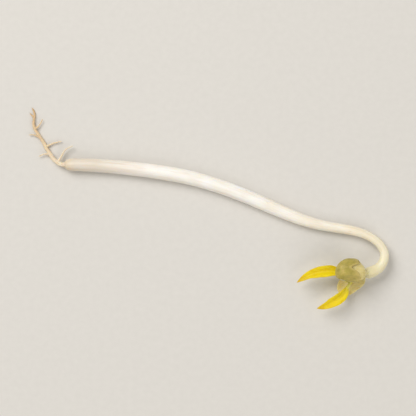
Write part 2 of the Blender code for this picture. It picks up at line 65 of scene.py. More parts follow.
# %% Hang the camera over the sprout
VIEW_WIDTH = 0.080
camera_data = bpy.data.cameras.new("camera")
camera_data.lens = 120
camera_data.sensor_width = 36
camera_data.clip_start = 0.01
camera = bpy.data.objects.new("camera", camera_data)
camera.location = (0, 0, VIEW_WIDTH * camera_data.lens / camera_data.sensor_width)
bpy.context.scene.collection.objects.link(camera)
bpy.context.scene.camera = camera
bpy.context.scene.view_settings.view_transform = "Standard"
print("camera height in m:", round(camera.location.z, 3))

# %% [markdown]
# ## Colours and nodes
#
# A colour picked on a screen is sRGB, and a shader works with linear light, so one function turns the
# one into the other. Another adds a node to a material, sets it up and fills its inputs. An input is
# given a plain value, a socket, or another node, which stands for that node's first output in use. Two
# more open and close a finish.


# %% Helpers for every finish
# The numbered inputs of a node that mixes two colours: the upper one's share, the lower, the upper.
SHARE, UNDER, OVER = 0, 6, 7
BLEND = {"data_type": "RGBA"}
TINT = {"data_type": "RGBA", "blend_type": "MULTIPLY"}


def linear(hex_colour):
    """Turn an sRGB hex colour into linear RGBA."""
    parts = [int(hex_colour[i : i + 2], 16) / 255 for i in (1, 3, 5)]
    return [c / 12.92 if c <= 0.04045 else ((c + 0.055) / 1.055) ** 2.4 for c in parts] + [1.0]


def output_of(node):
    """The first output of a node that is in use."""
    return next(output for output in node.outputs if output.enabled)


def add(tree, kind, inputs=None, stops=(), **settings):
    """Add a node with its settings, its inputs and, on a colour ramp, its stops."""
    node = tree.nodes.new(kind)
    for name, value in settings.items():
        setattr(node, name, value)
    for socket, value in (inputs or {}).items():
        if isinstance(value, bpy.types.Node):
            value = output_of(value)
        if isinstance(value, bpy.types.NodeSocket):
            tree.links.new(value, node.inputs[socket])
        else:
            node.inputs[socket].default_value = value
    for i, (place, hex_colour) in enumerate(stops):
        stop = node.color_ramp.elements[i] if i < 2 else node.color_ramp.elements.new(place)
        stop.position = place
        stop.color = linear(hex_colour)
    return node


def open_finish(name, *pieces, **sockets):
    """Give pieces a new material with plain values on its shader's sockets."""
    material = bpy.data.materials.new(name)
    material.use_nodes = True
    for piece in pieces:
        piece.data.materials.append(material)
    shader = material.node_tree.nodes["Principled BSDF"]
    for socket, value in sockets.items():
        shader.inputs[socket.replace("_", " ")].default_value = value
    print("finish:", name)
    return material.node_tree, shader


def close_finish(tree, shader, **ends):
    """Lead the last nodes of a finish into the shader's sockets of the same names."""
    for socket, node in ends.items():
        tree.links.new(output_of(node), shader.inputs[socket.replace("_", " ")])
    print("its nodes:", len(tree.nodes))


print("white is", linear("#FFFFFF"))

# %% [markdown]
# ## The floor and the light
#
# Fresh sprouts are photographed in a bright, nearly shadowless tent. Two large soft lights and a
# bright, even surround do the same here. The larger light stands up and to the left, so the stem turns
# from a clean white on that side to a warmer shade on the other. The floor is a sheet of pale, slightly
# warm grey card, which throws some of that warmth back at the stem's underside. It has to be a little
# darker than the stem, or the white stem would melt into it.

# %% Lay the floor and set the lights
FLOOR_SIZE = 2.0
# The floor lies a hair lower than the sprout, so that no two faces share one plane.
FLOOR_DROP = 0.01 * MM
# Each light: its name, its place and its side in metres, its power in watts and its colour.
LIGHTS = (
    ("key", (-0.30, 0.34, 0.55), 0.42, 3.5, "#FFFDFB"),
    ("fill", (0.34, -0.40, 0.42), 0.50, 1.4, "#FFFAF4"),
)
TENT_COLOUR = "#F4F3F1"
TENT_STRENGTH = 0.44


def as_object(name, bm):
    """Turn a bmesh into a smooth object in the scene."""
    mesh = bpy.data.meshes.new(name)
    bm.to_mesh(mesh)
    bm.free()
    mesh.shade_smooth()
    piece = bpy.data.objects.new(name, mesh)
    bpy.context.scene.collection.objects.link(piece)
    return piece


bm = bmesh.new()
bmesh.ops.create_grid(bm, x_segments=4, y_segments=4, size=FLOOR_SIZE)
bmesh.ops.translate(bm, verts=bm.verts, vec=(0, 0, -FLOOR_DROP))
floor = as_object("floor", bm)
tree, shader = open_finish("pale_card", floor, Roughness=0.85, IOR=1.45)
in_place = add(tree, "ShaderNodeTexCoord").outputs["Object"]
# Card is pressed from fibres a millimetre long.
fibres = add(tree, "ShaderNodeTexNoise", {"Vector": in_place, "Scale": 900, "Detail": 3})
card_tone = add(tree, "ShaderNodeValToRGB", {"Fac": fibres}, stops=((0.3, "#D9D6D0"), (0.7, "#DCD9D3")))
close_finish(tree, shader, Base_Color=card_tone)

for name, place, side, power, hex_colour in LIGHTS:
    data = bpy.data.lights.new(name, "AREA")
    data.size = side
    data.energy = power
    data.color = linear(hex_colour)[:3]
    light = bpy.data.objects.new(name, data)
    light.location = place
    light.rotation_euler = (-Vector(place)).to_track_quat("-Z", "Y").to_euler()
    bpy.context.scene.collection.objects.link(light)
world = bpy.data.worlds.new("tent")
world.use_nodes = True
background = world.node_tree.nodes["Background"].inputs
background["Color"].default_value = linear(TENT_COLOUR)
background["Strength"].default_value = TENT_STRENGTH
bpy.context.scene.world = world
print("a floor and", len(LIGHTS), "lights")

# %% [markdown]
# ## Growing along an axis
#
# Every part of the sprout is a body that grew along a line: the stem, the root, the stalks and even the
# leaves. A curve object with a bevel could give the bare tube, but not one with ridges, a rounded end
# and a flat belly. So an axis is made as a smooth curve through a few rows of numbers, and a ring of
# points is set across it again and again. The rings are joined by extruding the first one along the
# others.


# %% A smooth axis through rows of numbers
class Axis:
    """A natural cubic spline through rows of numbers, measured along its first three columns."""

    def __init__(self, rows):
        self.rows = np.array(rows, dtype=float)
        steps = np.linalg.norm(np.diff(self.rows[:, :3], axis=0), axis=1)
        self.at = np.concatenate(([0.0], np.cumsum(steps)))
        self.length = float(self.at[-1])
        count = len(self.rows)
        matrix = np.eye(count)
        right = np.zeros_like(self.rows)
        for i in range(1, count - 1):
            before, after = steps[i - 1], steps[i]
            matrix[i, i - 1 : i + 2] = before, 2 * (before + after), after
            rise = (self.rows[i + 1] - self.rows[i]) / after
            fall = (self.rows[i] - self.rows[i - 1]) / before
            right[i] = 6 * (rise - fall)
        self.bends = np.linalg.solve(matrix, right)

    def value(self, s):
        """The row at a distance along the axis."""
        s = min(max(s, 0.0), self.length)
        i = min(int(np.searchsorted(self.at, s, side="right")) - 1, len(self.at) - 2)
        gap = self.at[i + 1] - self.at[i]
        b = (s - self.at[i]) / gap
        a = 1 - b
        bend = ((a**3 - a) * self.bends[i] + (b**3 - b) * self.bends[i + 1]) * gap * gap / 6
        return (a * self.rows[i] + b * self.rows[i + 1] + bend).tolist()

    def frame(self, s):
        """Centre, direction, sideways and upward vectors at a distance along the axis."""
        step = self.length * 1e-4
        along = (Vector(self.value(s + step)[:3]) - Vector(self.value(s - step)[:3])).normalized()
        side = along.cross(Vector((0, 0, 1))).normalized()
        return Vector(self.value(s)[:3]), along, side, side.cross(along)


def lying_axis(rows):
    """An axis in metres from rows of x, y, height of the underside and thickness in millimetres."""
    return Axis([(x * MM, y * MM, (lift + width / 2) * MM, width * MM) for x, y, lift, width in rows])


def stations(start, end, spacing):
    """Even distances from start to end, both included."""
    count = max(2, round(abs(end - start) / spacing) + 1)
    return [start + (end - start) * i / (count - 1) for i in range(count)]


print("an axis through 3 rows:", round(Axis([(0, 0, 0), (1, 0, 0), (1, 1, 0)]).length, 2))

# %% [markdown]
# ## Skinning the rings
#
# The first ring is made as a circle and then moved onto its points. Each extrusion makes the next ring,
# whose points are moved in turn. Open ends are filled and given a middle point, so that they close
# smoothly. Each point also remembers where it would be if its body were straight. A pattern that reads
# this place runs along the stem round every bend, as the streaks of a real stem do.


# %% Make a body from its rings
def grown(name, rings, straight, place=None, close_end=True):
    """Skin rings of points. straight has each point's place in the straightened body, in millimetres."""
    bm = bmesh.new()
    layer = bm.verts.layers.float_vector.new("straight")
    ring = bmesh.ops.create_circle(bm, segments=len(rings[0]), radius=MM)["verts"]
    edges = first = bm.edges[:]
    for number, (points, places) in enumerate(zip(rings, straight)):
        if number:
            geometry = bmesh.ops.extrude_edge_only(bm, edges=edges)["geom"]
            new = {item for item in geometry if isinstance(item, bmesh.types.BMVert)}
            ring = [next(e.other_vert(v) for e in v.link_edges if e.other_vert(v) in new) for v in ring]
            edges = [bm.edges.get((ring[i - 1], ring[i])) for i in range(len(ring))]
        for vert, point, spot in zip(ring, points, places):
            vert.co = point
            vert[layer] = spot
    ends = first + edges if close_end else first
    caps = bmesh.ops.holes_fill(bm, edges=ends, sides=len(ring))["faces"]
    for vert in bmesh.ops.poke(bm, faces=caps)["verts"]:
        around = [edge.other_vert(vert)[layer] for edge in vert.link_edges]
        vert[layer] = sum(around, Vector()) / len(around)
    if place:
        bmesh.ops.transform(bm, matrix=place, verts=bm.verts)
    bmesh.ops.recalc_face_normals(bm, faces=bm.faces[:])
    # Extruding makes edges and faces in an order that changes from run to run. Here they get a fixed one.
    bm.verts.index_update()
    for parts in (bm.edges, bm.faces):
        ordered = sorted(parts, key=lambda part: sorted(vert.index for vert in part.verts))
        for number, part in enumerate(ordered):
            part.index = number
        parts.sort()
    return as_object(name, bm)


def report(piece, node):
    """Print a piece's triangles and how far it stands out of its solid's box, in millimetres."""
    low, high = np.array(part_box(node))
    points = np.array([v.co for v in piece.data.vertices])
    under = np.round((low - points.min(0)) / MM, 3).tolist()
    over = np.round((points.max(0) - high) / MM, 3).tolist()
    piece.data.calc_loop_triangles()
    count = len(piece.data.loop_triangles)
    print(piece.name, count, "triangles, past the low corner", under, "the high one", over)


print("a body takes rings of points and their places in", grown.__name__)

# %% [markdown]
# ## Rings and their relief
#
# No living skin is a perfect tube, and the eye finds one at once. Three kinds of relief break it:
# ripples that run round a body or along it, hills at one place, and a random roughness. Each body has a
# small function of its own that adds them up for a distance and an angle.


# %% Set rings across an axis and give them relief
def ring_across(axis, s, radius, sides, shape):
    """A ring across an axis, kept above the floor, and the places its points have in a straight body."""
    centre, _, side, up = axis.frame(s)
    points, places = [], []
    for k in range(sides):
        angle = 2 * math.pi * (k + 0.5) / sides
        point = centre + radius * shape(s, angle) * (math.cos(angle) * side + math.sin(angle) * up)
        point.z = max(point.z, 0.0)
        points.append(point)
        places.append((radius / MM * math.cos(angle), radius / MM * math.sin(angle), s / MM))
    return points, places


def rings_along(axis, distances, sides, shape, taper):
    """Rings across an axis at many distances. taper gives the share of the thickness left at each."""
    pairs = [ring_across(axis, s, axis.value(s)[3] / 2 * taper(s), sides, shape) for s in distances]
    return [points for points, _ in pairs], [places for _, places in pairs]


def ripples(rows, angle, at=0.0):
    """Waves round and along a body. Each row gives a wave's height, its number of crests round the body,
    its phase at the start, how far it turns in a millimetre, how far it sways and over what length."""
    return sum(
        height * math.sin(crests * angle + phase + turn * at + sway * math.sin(at / over))
        for height, crests, phase, turn, sway, over in rows
    )


def hill(x, middle, width):
    """A rise to 1 at the middle that falls off to both sides."""
    return math.exp(-(((x - middle) / width) ** 2))


def rough(rows, x, y, z):
    """Smooth random relief at a place. Each row gives its height and how fine it is."""
    return sum(height * noise.noise(fineness * Vector((x, y, z))) for height, fineness in rows)


# A ripple with this phase starts on a crest.
CREST = math.pi / 2
print("a hill's height a width away:", round(hill(1.0, 0.0, 1.0), 2))

# %% [markdown]
# ## The stem
#
# The stem, which botanists call the hypocotyl, is a juicy white rod just under 3 mm thick and 70 mm
# long. It lies on the floor under its own weight, so its belly is pressed a little flat. Near the bean
# it thins to a neck, lifts off and hooks right back. Its skin is smooth, but light shows four very soft
# ridges, fine ribs between them, and slow swellings along its length. The inside of a tight bend
# puckers, and the far end swells above and below, where the stalks of the bean leave it.
# It could be one cylinder on a curve with the ridges as a bump pattern, but a bump leaves the outline
# straight. Here the radius of every ring changes with the angle and the distance, so all of it is in
# the mesh.

# %% The stem's axis and its skin
# Each row: a place along the stem and to its side, the height of its underside and its thickness in mm.
STEM_AXIS = (
    (0.0, 0.0, 0.22, 2.36),
    (3.6, -0.04, 0.06, 2.44),
    (7.2, -0.22, -0.05, 2.52),
    (14.4, -0.95, -0.05, 2.70),
    (21.6, -2.05, -0.05, 2.74),
    (28.8, -3.95, -0.05, 2.72),
    (36.0, -6.65, -0.05, 2.70),
    (43.2, -9.75, -0.05, 2.40),
    (48.0, -11.35, -0.03, 2.14),
    (52.2, -12.15, 0.12, 1.94),
    (56.2, -12.95, 0.50, 1.80),
    (59.5, -14.70, 1.00, 1.72),
    (60.9, -17.20, 1.45, 1.74),
    (59.9, -19.60, 1.62, 1.98),
    (57.4, -20.80, 1.58, 2.40),
)
# The rows start at the stem's left end. This moves them to where that end lies in the frame.
STEM_END = Vector((-27.262, 8.297, 0)) * MM
IN_FRAME = Matrix.Translation(STEM_END)
stem_axis = lying_axis(STEM_AXIS)
# Round rings stand out further than the solid's flat facets, so they are drawn in to this share.
STEM_DRAWN_IN = 0.983
# Ridges that turn half round in 60 mm, ribs, fine ribs and two swellings, as shares of the radius.
STEM_RIPPLES = (
    (0.022, 4, CREST, 2 * math.pi * 0.55 / 60, 0, 1),
    (0.007, 13, CREST, 0, 0.9, 11),
    (0.004, 21, CREST, -1 / 9, 0, 1),
    (0.012, 0, 0, 1 / 3.1, 0, 1),
    (0.010, 1, 0, 1 / 5.7, 0, 1),
)
# Lumps: how high and how fine they are, and their length along the stem in millimetres.
STEM_LUMPS = ((0.020, 1.2),)
STEM_LUMP_LENGTH = 5.4
# The hook starts here, and its inner side puckers more and more over the next stretch.
HOOK_START = stem_axis.length - 15 * MM
HOOK_EASE = 5 * MM
PUCKERS = ((0.016, 0, 0, 2 * math.pi / 0.85, 1.5, 1),)
# Where the stalks of the bean leave it the stem swells above and below: how far, where and how wide.
NODE_SWELLING = 0.14
NODE_FROM_END = 0.35 * MM
NODE_WIDTH = 0.75 * MM


def stem_skin(s, angle):
    """The stem's radius at a distance and an angle, as a share of its plain radius."""
    at = s / MM
    lumps = rough(STEM_LUMPS, math.cos(angle), math.sin(angle), at / STEM_LUMP_LENGTH)
    hook = min(max((s - HOOK_START) / HOOK_EASE, 0.0), 1.0)
    inside = max(math.cos(angle), 0.0) ** 2
    puckers = hook * inside * ripples(PUCKERS, 0.0, at)
    node = hill(s, stem_axis.length - NODE_FROM_END, NODE_WIDTH)
    swelling = NODE_SWELLING * node * math.sin(angle) ** 6
    return STEM_DRAWN_IN * (1 + ripples(STEM_RIPPLES, angle, at) + lumps + puckers + swelling)


print("the stem is", round(stem_axis.length / MM, 1), "mm long")

# %% [markdown]
# Both ends are rounded off and closed by domes. The one at the root end is blunt, as where the root has
# worn thin, and the one at the bean end is the joint that the stalks grow out of. Each dome is a few
# more rings that shrink towards the axis.

# %% Grow the stem
STEM_SIDES = 64
# Each end is rounded off over a length, down to a share of the full radius, and its dome has a depth.
ROOT_END, ROOT_LIP, ROOT_DOME = 1.7 * MM, 0.62, 0.18 * MM
BEAN_END, BEAN_LIP, BEAN_DOME = 0.9 * MM, 0.74, 0.50 * MM
# The steps between the rings at the root end, along the middle and at the bean end.
ROOT_END_STEP, MIDDLE_STEP, BEAN_END_STEP = 0.12 * MM, 0.28 * MM, 0.10 * MM
# How far each ring of a dome stands out, and its width, as shares of the dome's depth and of its rim.
DOME = ((0.20, 0.98), (0.42, 0.91), (0.65, 0.76), (0.87, 0.49), (0.98, 0.20))


def shoulder(s, reach, lip):
    """Round off an end over its reach, down to the lip's share of the full radius."""
    if s >= reach:
        return 1.0
    return lip + (1 - lip) * math.sqrt(1 - (1 - s / reach) ** 2)


def stem_taper(s):
    """The share of the stem's thickness that its rounded ends leave."""
    return shoulder(s, ROOT_END, ROOT_LIP) * shoulder(stem_axis.length - s, BEAN_END, BEAN_LIP)


def dome(points, places, centre, outwards):
    """Rings that close an end in a dome, from its rim on. outwards gives its direction and depth."""
    rings = [[centre + (p - centre) * share + outwards * out for p in points] for out, share in DOME]
    straight = [[(x * share, y * share, z) for x, y, z in places] for _, share in DOME]
    return rings, straight


bean_end = stem_axis.length - BEAN_END
distances = stations(0.0, ROOT_END, ROOT_END_STEP)[:-1] + stations(ROOT_END, bean_end, MIDDLE_STEP)
distances += stations(bean_end, stem_axis.length, BEAN_END_STEP)[1:]
rings, straight = rings_along(stem_axis, distances, STEM_SIDES, stem_skin, stem_taper)
stem_start, stem_start_along, _, _ = stem_axis.frame(0.0)
joint, joint_along, joint_side, joint_up = stem_axis.frame(stem_axis.length)
root_dome, root_places = dome(rings[0], straight[0], stem_start, -ROOT_DOME * stem_start_along)
bean_dome, bean_places = dome(rings[-1], straight[-1], joint, BEAN_DOME * joint_along)
rings = root_dome[::-1] + rings + bean_dome
stem = grown("stem", rings, root_places[::-1] + straight + bean_places, IN_FRAME)
report(stem, "hypocotyl")

# %% [markdown]
# ### The stem's finish
#
# Living stem tissue is mostly water. Light goes in, scatters a millimetre or so and comes out again,
# which makes the stem glow softly instead of looking painted, so the shader scatters under the surface.
# Its skin is moist, which a thin clear coat gives. The colour isn't even: beige and glassy at the root
# end, clean white along the middle, cream where the neck thins, and a breath of yellow green round the
# hook, where light first reached it. Strands that carry the water show through as faint streaks a few
# tenths of a millimetre wide.

# %% Finish: fresh stem, moist living tissue that glows white with faint streaks
tree, shader = open_finish(
    "fresh_stem",
    stem,
    Roughness=0.42,
    IOR=1.38,
    Subsurface_Weight=0.5,
    Subsurface_Radius=(1.0, 0.85, 0.62),
    Subsurface_Scale=1.1 * MM,
    Coat_Weight=0.18,
    Coat_Roughness=0.22,
)
straight = add(tree, "ShaderNodeAttribute", attribute_name="straight").outputs["Vector"]
length_mm = add(tree, "ShaderNodeSeparateXYZ", {"Vector": straight}).outputs["Z"]
stem_share = add(tree, "ShaderNodeMath", {0: length_mm, 1: stem_axis.length / MM}, operation="DIVIDE")
stem_tone = add(
    tree,
    "ShaderNodeValToRGB",
    {"Fac": stem_share},
    stops=(
        (0.0, "#E2D5BE"),
        (0.03, "#E6DED1"),
        (0.10, "#EBE6DD"),
        (0.17, "#F4EFE8"),
        (0.27, "#FDFAF6"),
        (0.50, "#FDFBF7"),
        (0.64, "#FBF6EE"),
        (0.79, "#F7F1E3"),
        (0.92, "#F0EAD2"),
        (1.0, "#E8E1B9"),
    ),
)
# The streaks are 0.3 mm wide and run for several millimetres.
streak_place = add(tree, "ShaderNodeMapping", {"Vector": straight, "Scale": (1.0, 1.0, 0.05)})
streaks = add(
    tree, "ShaderNodeTexNoise", {"Vector": streak_place, "Scale": 3.2, "Detail": 4, "Roughness": 0.55}
)
streak_stops = ((0.30, "#F0E7D8"), (0.48, "#FDFBF8"), (0.70, "#FFFFFF"))
streak_tone = add(tree, "ShaderNodeValToRGB", {"Fac": streaks}, stops=streak_stops)
streaked = add(tree, "ShaderNodeMix", {SHARE: 0.6, UNDER: stem_tone, OVER: streak_tone}, **TINT)
# Clouded patches where the tissue holds more or less water, 2 mm round the stem and 5 mm along it.
cloud_place = add(tree, "ShaderNodeMapping", {"Vector": straight, "Scale": (1.0, 1.0, 0.35)})
clouds = add(tree, "ShaderNodeTexNoise", {"Vector": cloud_place, "Scale": 0.6, "Detail": 2})
cloud_stops = ((0.35, "#F3ECE0"), (0.62, "#FFFFFF"))
cloud_tone = add(tree, "ShaderNodeValToRGB", {"Fac": clouds}, stops=cloud_stops)
clouded = add(tree, "ShaderNodeMix", {SHARE: 0.5, UNDER: streaked, OVER: cloud_tone}, **TINT)
# A few faint tan marks where the skin was rubbed, each about a millimetre long.
rub_place = add(
    tree,
    "ShaderNodeMapping",
    {"Vector": straight, "Location": (3.0, 1.0, 0.0), "Scale": (1.0, 1.0, 0.4)},
)
rubs = add(tree, "ShaderNodeTexNoise", {"Vector": rub_place, "Scale": 1.3, "Detail": 2})
rub_share = add(
    tree, "ShaderNodeMapRange", {"Value": rubs, "From Min": 0.70, "From Max": 0.80, "To Max": 0.45}
)
rubbed = add(tree, "ShaderNodeMix", {SHARE: rub_share, UNDER: clouded, OVER: linear("#D8BE92")}, **BLEND)
wetness = add(tree, "ShaderNodeMapRange", {"Value": clouds, "To Min": 0.34, "To Max": 0.50})
# The skin's cells are 0.03 mm wide. They are drawn at 0.15 mm, the least that shows.
cell_place = add(tree, "ShaderNodeMapping", {"Vector": straight, "Scale": (1.0, 1.0, 0.18)})
cells = add(tree, "ShaderNodeTexNoise", {"Vector": cell_place, "Scale": 6.5, "Detail": 3})
streak_bump = add(tree, "ShaderNodeBump", {"Height": streaks, "Strength": 0.5, "Distance": 0.06 * MM})
cell_bump = add(
    tree,
    "ShaderNodeBump",
    {"Height": cells, "Strength": 0.35, "Distance": 0.02 * MM, "Normal": streak_bump},
)
close_finish(tree, shader, Base_Color=rubbed, Roughness=wetness, Normal=cell_bump)

# %% [markdown]
# ## The root
#
# A few hours out of water the root turns tan, shrinks and wrinkles lengthwise. It leaves the stem's end
# in a short flare, bends aside and thins to a thread, with side roots sprouting from it at odd angles.
# Single tubes pushed into each other would show a hard line at every fork. So the tubes are grown one
# by one, with a flare at the foot of each side root, and a voxel remesh then wraps them all in one
# skin, which rounds the forks off.

# %% The root's axis and its wrinkles
ROOT_AXIS = (
    (-1.10, 0.16, 0.70, 0.90),
    (-1.95, 0.74, 0.50, 0.84),
    (-2.85, 1.80, 0.28, 0.78),
    (-3.85, 3.35, 0.12, 0.72),
    (-4.75, 5.00, 0.14, 0.64),
    (-5.75, 6.45, 0.26, 0.58),
    (-6.25, 8.05, 0.16, 0.50),
    (-6.05, 9.60, 0.05, 0.40),
    (-6.55, 11.00, 0.02, 0.28),
)
# The plug that holds the root in the stem: its thickness, how deep it goes in and how far it stands out.
ROOT_PLUG = 0.86 * MM
ROOT_PLUG_DEPTH = 1.30 * MM
ROOT_PLUG_OUT = 0.45 * MM
plug_rows = [stem_axis.value(share * ROOT_PLUG_DEPTH)[:3] + [ROOT_PLUG] for share in (1.0, 0.5, 0.0)]
plug_rows.append([*(stem_start - ROOT_PLUG_OUT * stem_start_along), ROOT_PLUG])
root_axis = Axis(plug_rows + lying_axis(ROOT_AXIS).rows.tolist())
ROOT_DRAWN_IN = 0.97
# Two wrinkles, then two crossing waves that make knobbles, as shares of the radius.
ROOT_RIPPLES = (
    (0.055, 5, CREST, 0, 1.6, 0.9),
    (0.035, 8, CREST, -1 / 0.45, 0, 1),
    (0.035, 1, 0, 1 / 1.3 + 1 / 0.52, 0, 1),
    (-0.035, 1, 0, 1 / 1.3 - 1 / 0.52, 0, 1),
)
# The flare where the root leaves the stem: its height, and its place and width in millimetres.
ROOT_FLARE, ROOT_FLARE_PLACE, ROOT_FLARE_WIDTH = 0.45, 1.10, 0.45
# Pinches: how high and how fine they are, the line through the random relief that they follow, and their
# length in millimetres.
PINCHES = ((0.05, 1),)
PINCH_LINE, PINCH_LENGTH = (0.3, 0.7), 0.6
SIDE_ROOT_RIPPLES = ((0.06, 4, CREST, 2, 0, 1),)
SIDE_ROOT_FLARE, SIDE_ROOT_FLARE_WIDTH = 0.55, 0.6
# A tip keeps this share of its section, so that its rings can be closed.
TIP_LEFT = 0.02


def root_skin(s, angle):
    """How the root's radius changes: a flare at the stem, knobbles, pinches and lengthwise wrinkles."""
    at = s / MM
    flare = ROOT_FLARE * hill(at, ROOT_FLARE_PLACE, ROOT_FLARE_WIDTH)
    pinches = rough(PINCHES, *PINCH_LINE, at / PINCH_LENGTH)
    return ROOT_DRAWN_IN + flare + ripples(ROOT_RIPPLES, angle, at) + pinches


def side_root_skin(s, angle):
    """A flare at the foot of a side root, and its wrinkles."""
    at = s / MM
    flare = SIDE_ROOT_FLARE * hill(at, 0.0, SIDE_ROOT_FLARE_WIDTH)
    return ROOT_DRAWN_IN + flare + ripples(SIDE_ROOT_RIPPLES, angle, at)


def pointed(s, length, reach):
    """Taper the last stretch of a body to a rounded point."""
    return math.sqrt(min(1.0, max(length - s, 0.0) / reach + TIP_LEFT))


print("the root is", round((root_axis.length - ROOT_PLUG_DEPTH) / MM, 1), "mm long outside the stem")

# %% [markdown]
# The wrapping is done in one place, because the shoot needs it too. Remesh draws the new skin, and a
# little smoothing takes the steps of its small cubes away. The remesh throws away what each point
# remembered, so a last function tells every point its place again.

# %% Wrap many bodies in one skin
# How strongly each smoothing pass evens out the new skin, and how many there are.
SMOOTHING, SMOOTHING_PASSES = 0.5, 2


def settle(piece):
    """Make a piece's modifiers part of its mesh."""
    mesh = bpy.data.meshes.new_from_object(piece.evaluated_get(bpy.context.evaluated_depsgraph_get()))
    piece.modifiers.clear()
    piece.data = mesh
    piece.data.shade_smooth()


def wrapped(name, parts, voxel):
    """Join overlapping bodies into one and wrap them in a single skin."""
    bm = bmesh.new()
    for part in parts:
        bm.from_mesh(part.data)
        bpy.data.objects.remove(part)
    piece = as_object(name, bm)
    remesh = piece.modifiers.new("skin", "REMESH")
    remesh.mode = "VOXEL"
    remesh.voxel_size = voxel
    settle(piece)
    bm = bmesh.new()
    bm.from_mesh(piece.data)
    axes = {"use_axis_x": True, "use_axis_y": True, "use_axis_z": True}
    for _ in range(SMOOTHING_PASSES):
        bmesh.ops.smooth_vert(bm, verts=bm.verts, factor=SMOOTHING, **axes)
    bm.to_mesh(piece.data)
    bm.free()
    return piece


def remember(piece, places):
    """Tell every point its place in the straightened body, given in metres, again."""
    layer = piece.data.attributes.new("straight", "FLOAT_VECTOR", "POINT")
    layer.data.foreach_set("vector", np.ravel(places) / MM)


print("smoothing passes over a wrapped skin:", SMOOTHING_PASSES)

# %% [markdown]
# A side root starts deep inside the root and wanders as it grows, up and down as well as sideways, but
# never below the floor. After the wrapping, every point of the skin looks for the nearest of many places
# on the root's axis, which tells it how far along the root it lies.

# %% Grow the root and its side roots
# Each side root: its place along the root, its heading in degrees, its length and thickness in mm.
SIDE_ROOTS = (
    (0.20, 62.0, 4.6, 0.46),
    (0.34, 186.0, 2.4, 0.36),
    (0.46, 30.0, 3.3, 0.38),
    (0.60, 158.0, 2.3, 0.34),
    (0.72, 46.0, 2.5, 0.34),
    (0.86, 140.0, 1.4, 0.30),
)
ROOT_SIDES, SIDE_ROOT_SIDES = 28, 14
# The tips are rounded over these lengths.
ROOT_POINT, SIDE_ROOT_POINT = 0.5 * MM, 0.20 * MM
ROOT_STEP = 0.09 * MM
ROOT_VOXEL = 0.05 * MM
ROOT_SEED = 7
# A side root has this many stretches. At each it turns by up to so many radians, and thins by a share.
STRETCHES = 6
WANDER = 0.30
THINNING = 0.08
# How far below and above its start a side root may lie, and the least air under it.
SINK, RISE, LEAST_AIR = 0.10 * MM, 0.02 * MM, 0.02 * MM
# Nothing of the root comes closer to the floor than this.
ROOT_LIFT = 0.006 * MM
# The places on the root's axis among which the nearest is looked for.
ROOT_SAMPLES = 300


def side_root_axis(share, heading, length, width, draw):
    """A thin side root that starts deep in the root and bends as it goes."""
    start = Vector(root_axis.value(share * root_axis.length)[:3])
    turn = math.radians(heading)
    point = start.copy()
    rows = []
    for i in range(STRETCHES + 1):
        thick = width * (1 - THINNING * i)
        rows.append((*point, thick))
        turn += draw.uniform(-WANDER, WANDER)
        point = point + Vector((math.cos(turn), math.sin(turn), 0)) * length / STRETCHES
        point.z = max(start.z + draw.uniform(-SINK, RISE), thick / 2 + LEAST_AIR)
    return Axis(rows)


def root_tube(name, axis, sides, skin, tip):
    """One root, grown from inside whatever it leaves to its tip."""
    distances = stations(0.0, axis.length, ROOT_STEP)
    rings, straight = rings_along(axis, distances, sides, skin, lambda s: pointed(s, axis.length, tip))
    return grown(name, rings, straight)


draw = random.Random(ROOT_SEED)
tubes = [root_tube("root", root_axis, ROOT_SIDES, root_skin, ROOT_POINT)]
for share, heading, length, width in SIDE_ROOTS:
    axis = side_root_axis(share, heading, length * MM, width * MM, draw)
    tubes.append(root_tube("side_root", axis, SIDE_ROOT_SIDES, side_root_skin, SIDE_ROOT_POINT))
root = wrapped("root", tubes, ROOT_VOXEL)
samples = np.linspace(0.0, root_axis.length, ROOT_SAMPLES)
spots = np.array([root_axis.value(s)[:3] for s in samples])
corners = np.array([v.co for v in root.data.vertices])
nearest = np.array([np.argmin(((spots - corner) ** 2).sum(1)) for corner in corners])
off_axis = corners - spots[nearest]
remember(root, np.column_stack((off_axis[:, :2], samples[nearest])))
for vertex in root.data.vertices:
    vertex.co.z = max(vertex.co.z, ROOT_LIFT)
root.data.transform(IN_FRAME)
report(root, "taproot")

# %% [markdown]
# ### The root's finish
#
# Drying root skin is dull and straw coloured next to the stem and browns towards the tip. A pattern of
# creases runs lengthwise, a few to the millimetre, and the colour is darker along its low lines. Under
# the skin there is still water, so a little light gets through the thinnest parts.

# %% Finish: drying root skin, dull tan that browns towards the tip
tree, shader = open_finish(
    "drying_root",
    root,
    Roughness=0.58,
    IOR=1.42,
    Subsurface_Weight=0.35,
    Subsurface_Radius=(1.0, 0.75, 0.45),
    Subsurface_Scale=0.4 * MM,
)
straight = add(tree, "ShaderNodeAttribute", attribute_name="straight").outputs["Vector"]
length_mm = add(tree, "ShaderNodeSeparateXYZ", {"Vector": straight}).outputs["Z"]
root_share = add(tree, "ShaderNodeMath", {0: length_mm, 1: root_axis.length / MM}, operation="DIVIDE")
root_stops = (
    (0.0, "#EAE1D0"),
    (0.16, "#EFE3CD"),
    (0.42, "#ECDABC"),
    (0.75, "#E4CDA8"),
    (1.0, "#D2B286"),
)
root_tone = add(tree, "ShaderNodeValToRGB", {"Fac": root_share}, stops=root_stops)
crease_place = add(tree, "ShaderNodeMapping", {"Vector": straight, "Scale": (1.0, 1.0, 0.3)})
creases = add(
    tree, "ShaderNodeTexNoise", {"Vector": crease_place, "Scale": 5.0, "Detail": 5, "Roughness": 0.6}
)
# The colour is darker where the crease pattern is low, the same places that the bump sinks.
crease_stops = ((0.34, "#CCAE88"), (0.48, "#F2E8D8"), (0.72, "#FFFFFF"))
crease_tone = add(tree, "ShaderNodeValToRGB", {"Fac": creases}, stops=crease_stops)
creased = add(tree, "ShaderNodeMix", {SHARE: 0.5, UNDER: root_tone, OVER: crease_tone}, **TINT)
crease_bump = add(tree, "ShaderNodeBump", {"Height": creases, "Strength": 0.6, "Distance": 0.06 * MM})
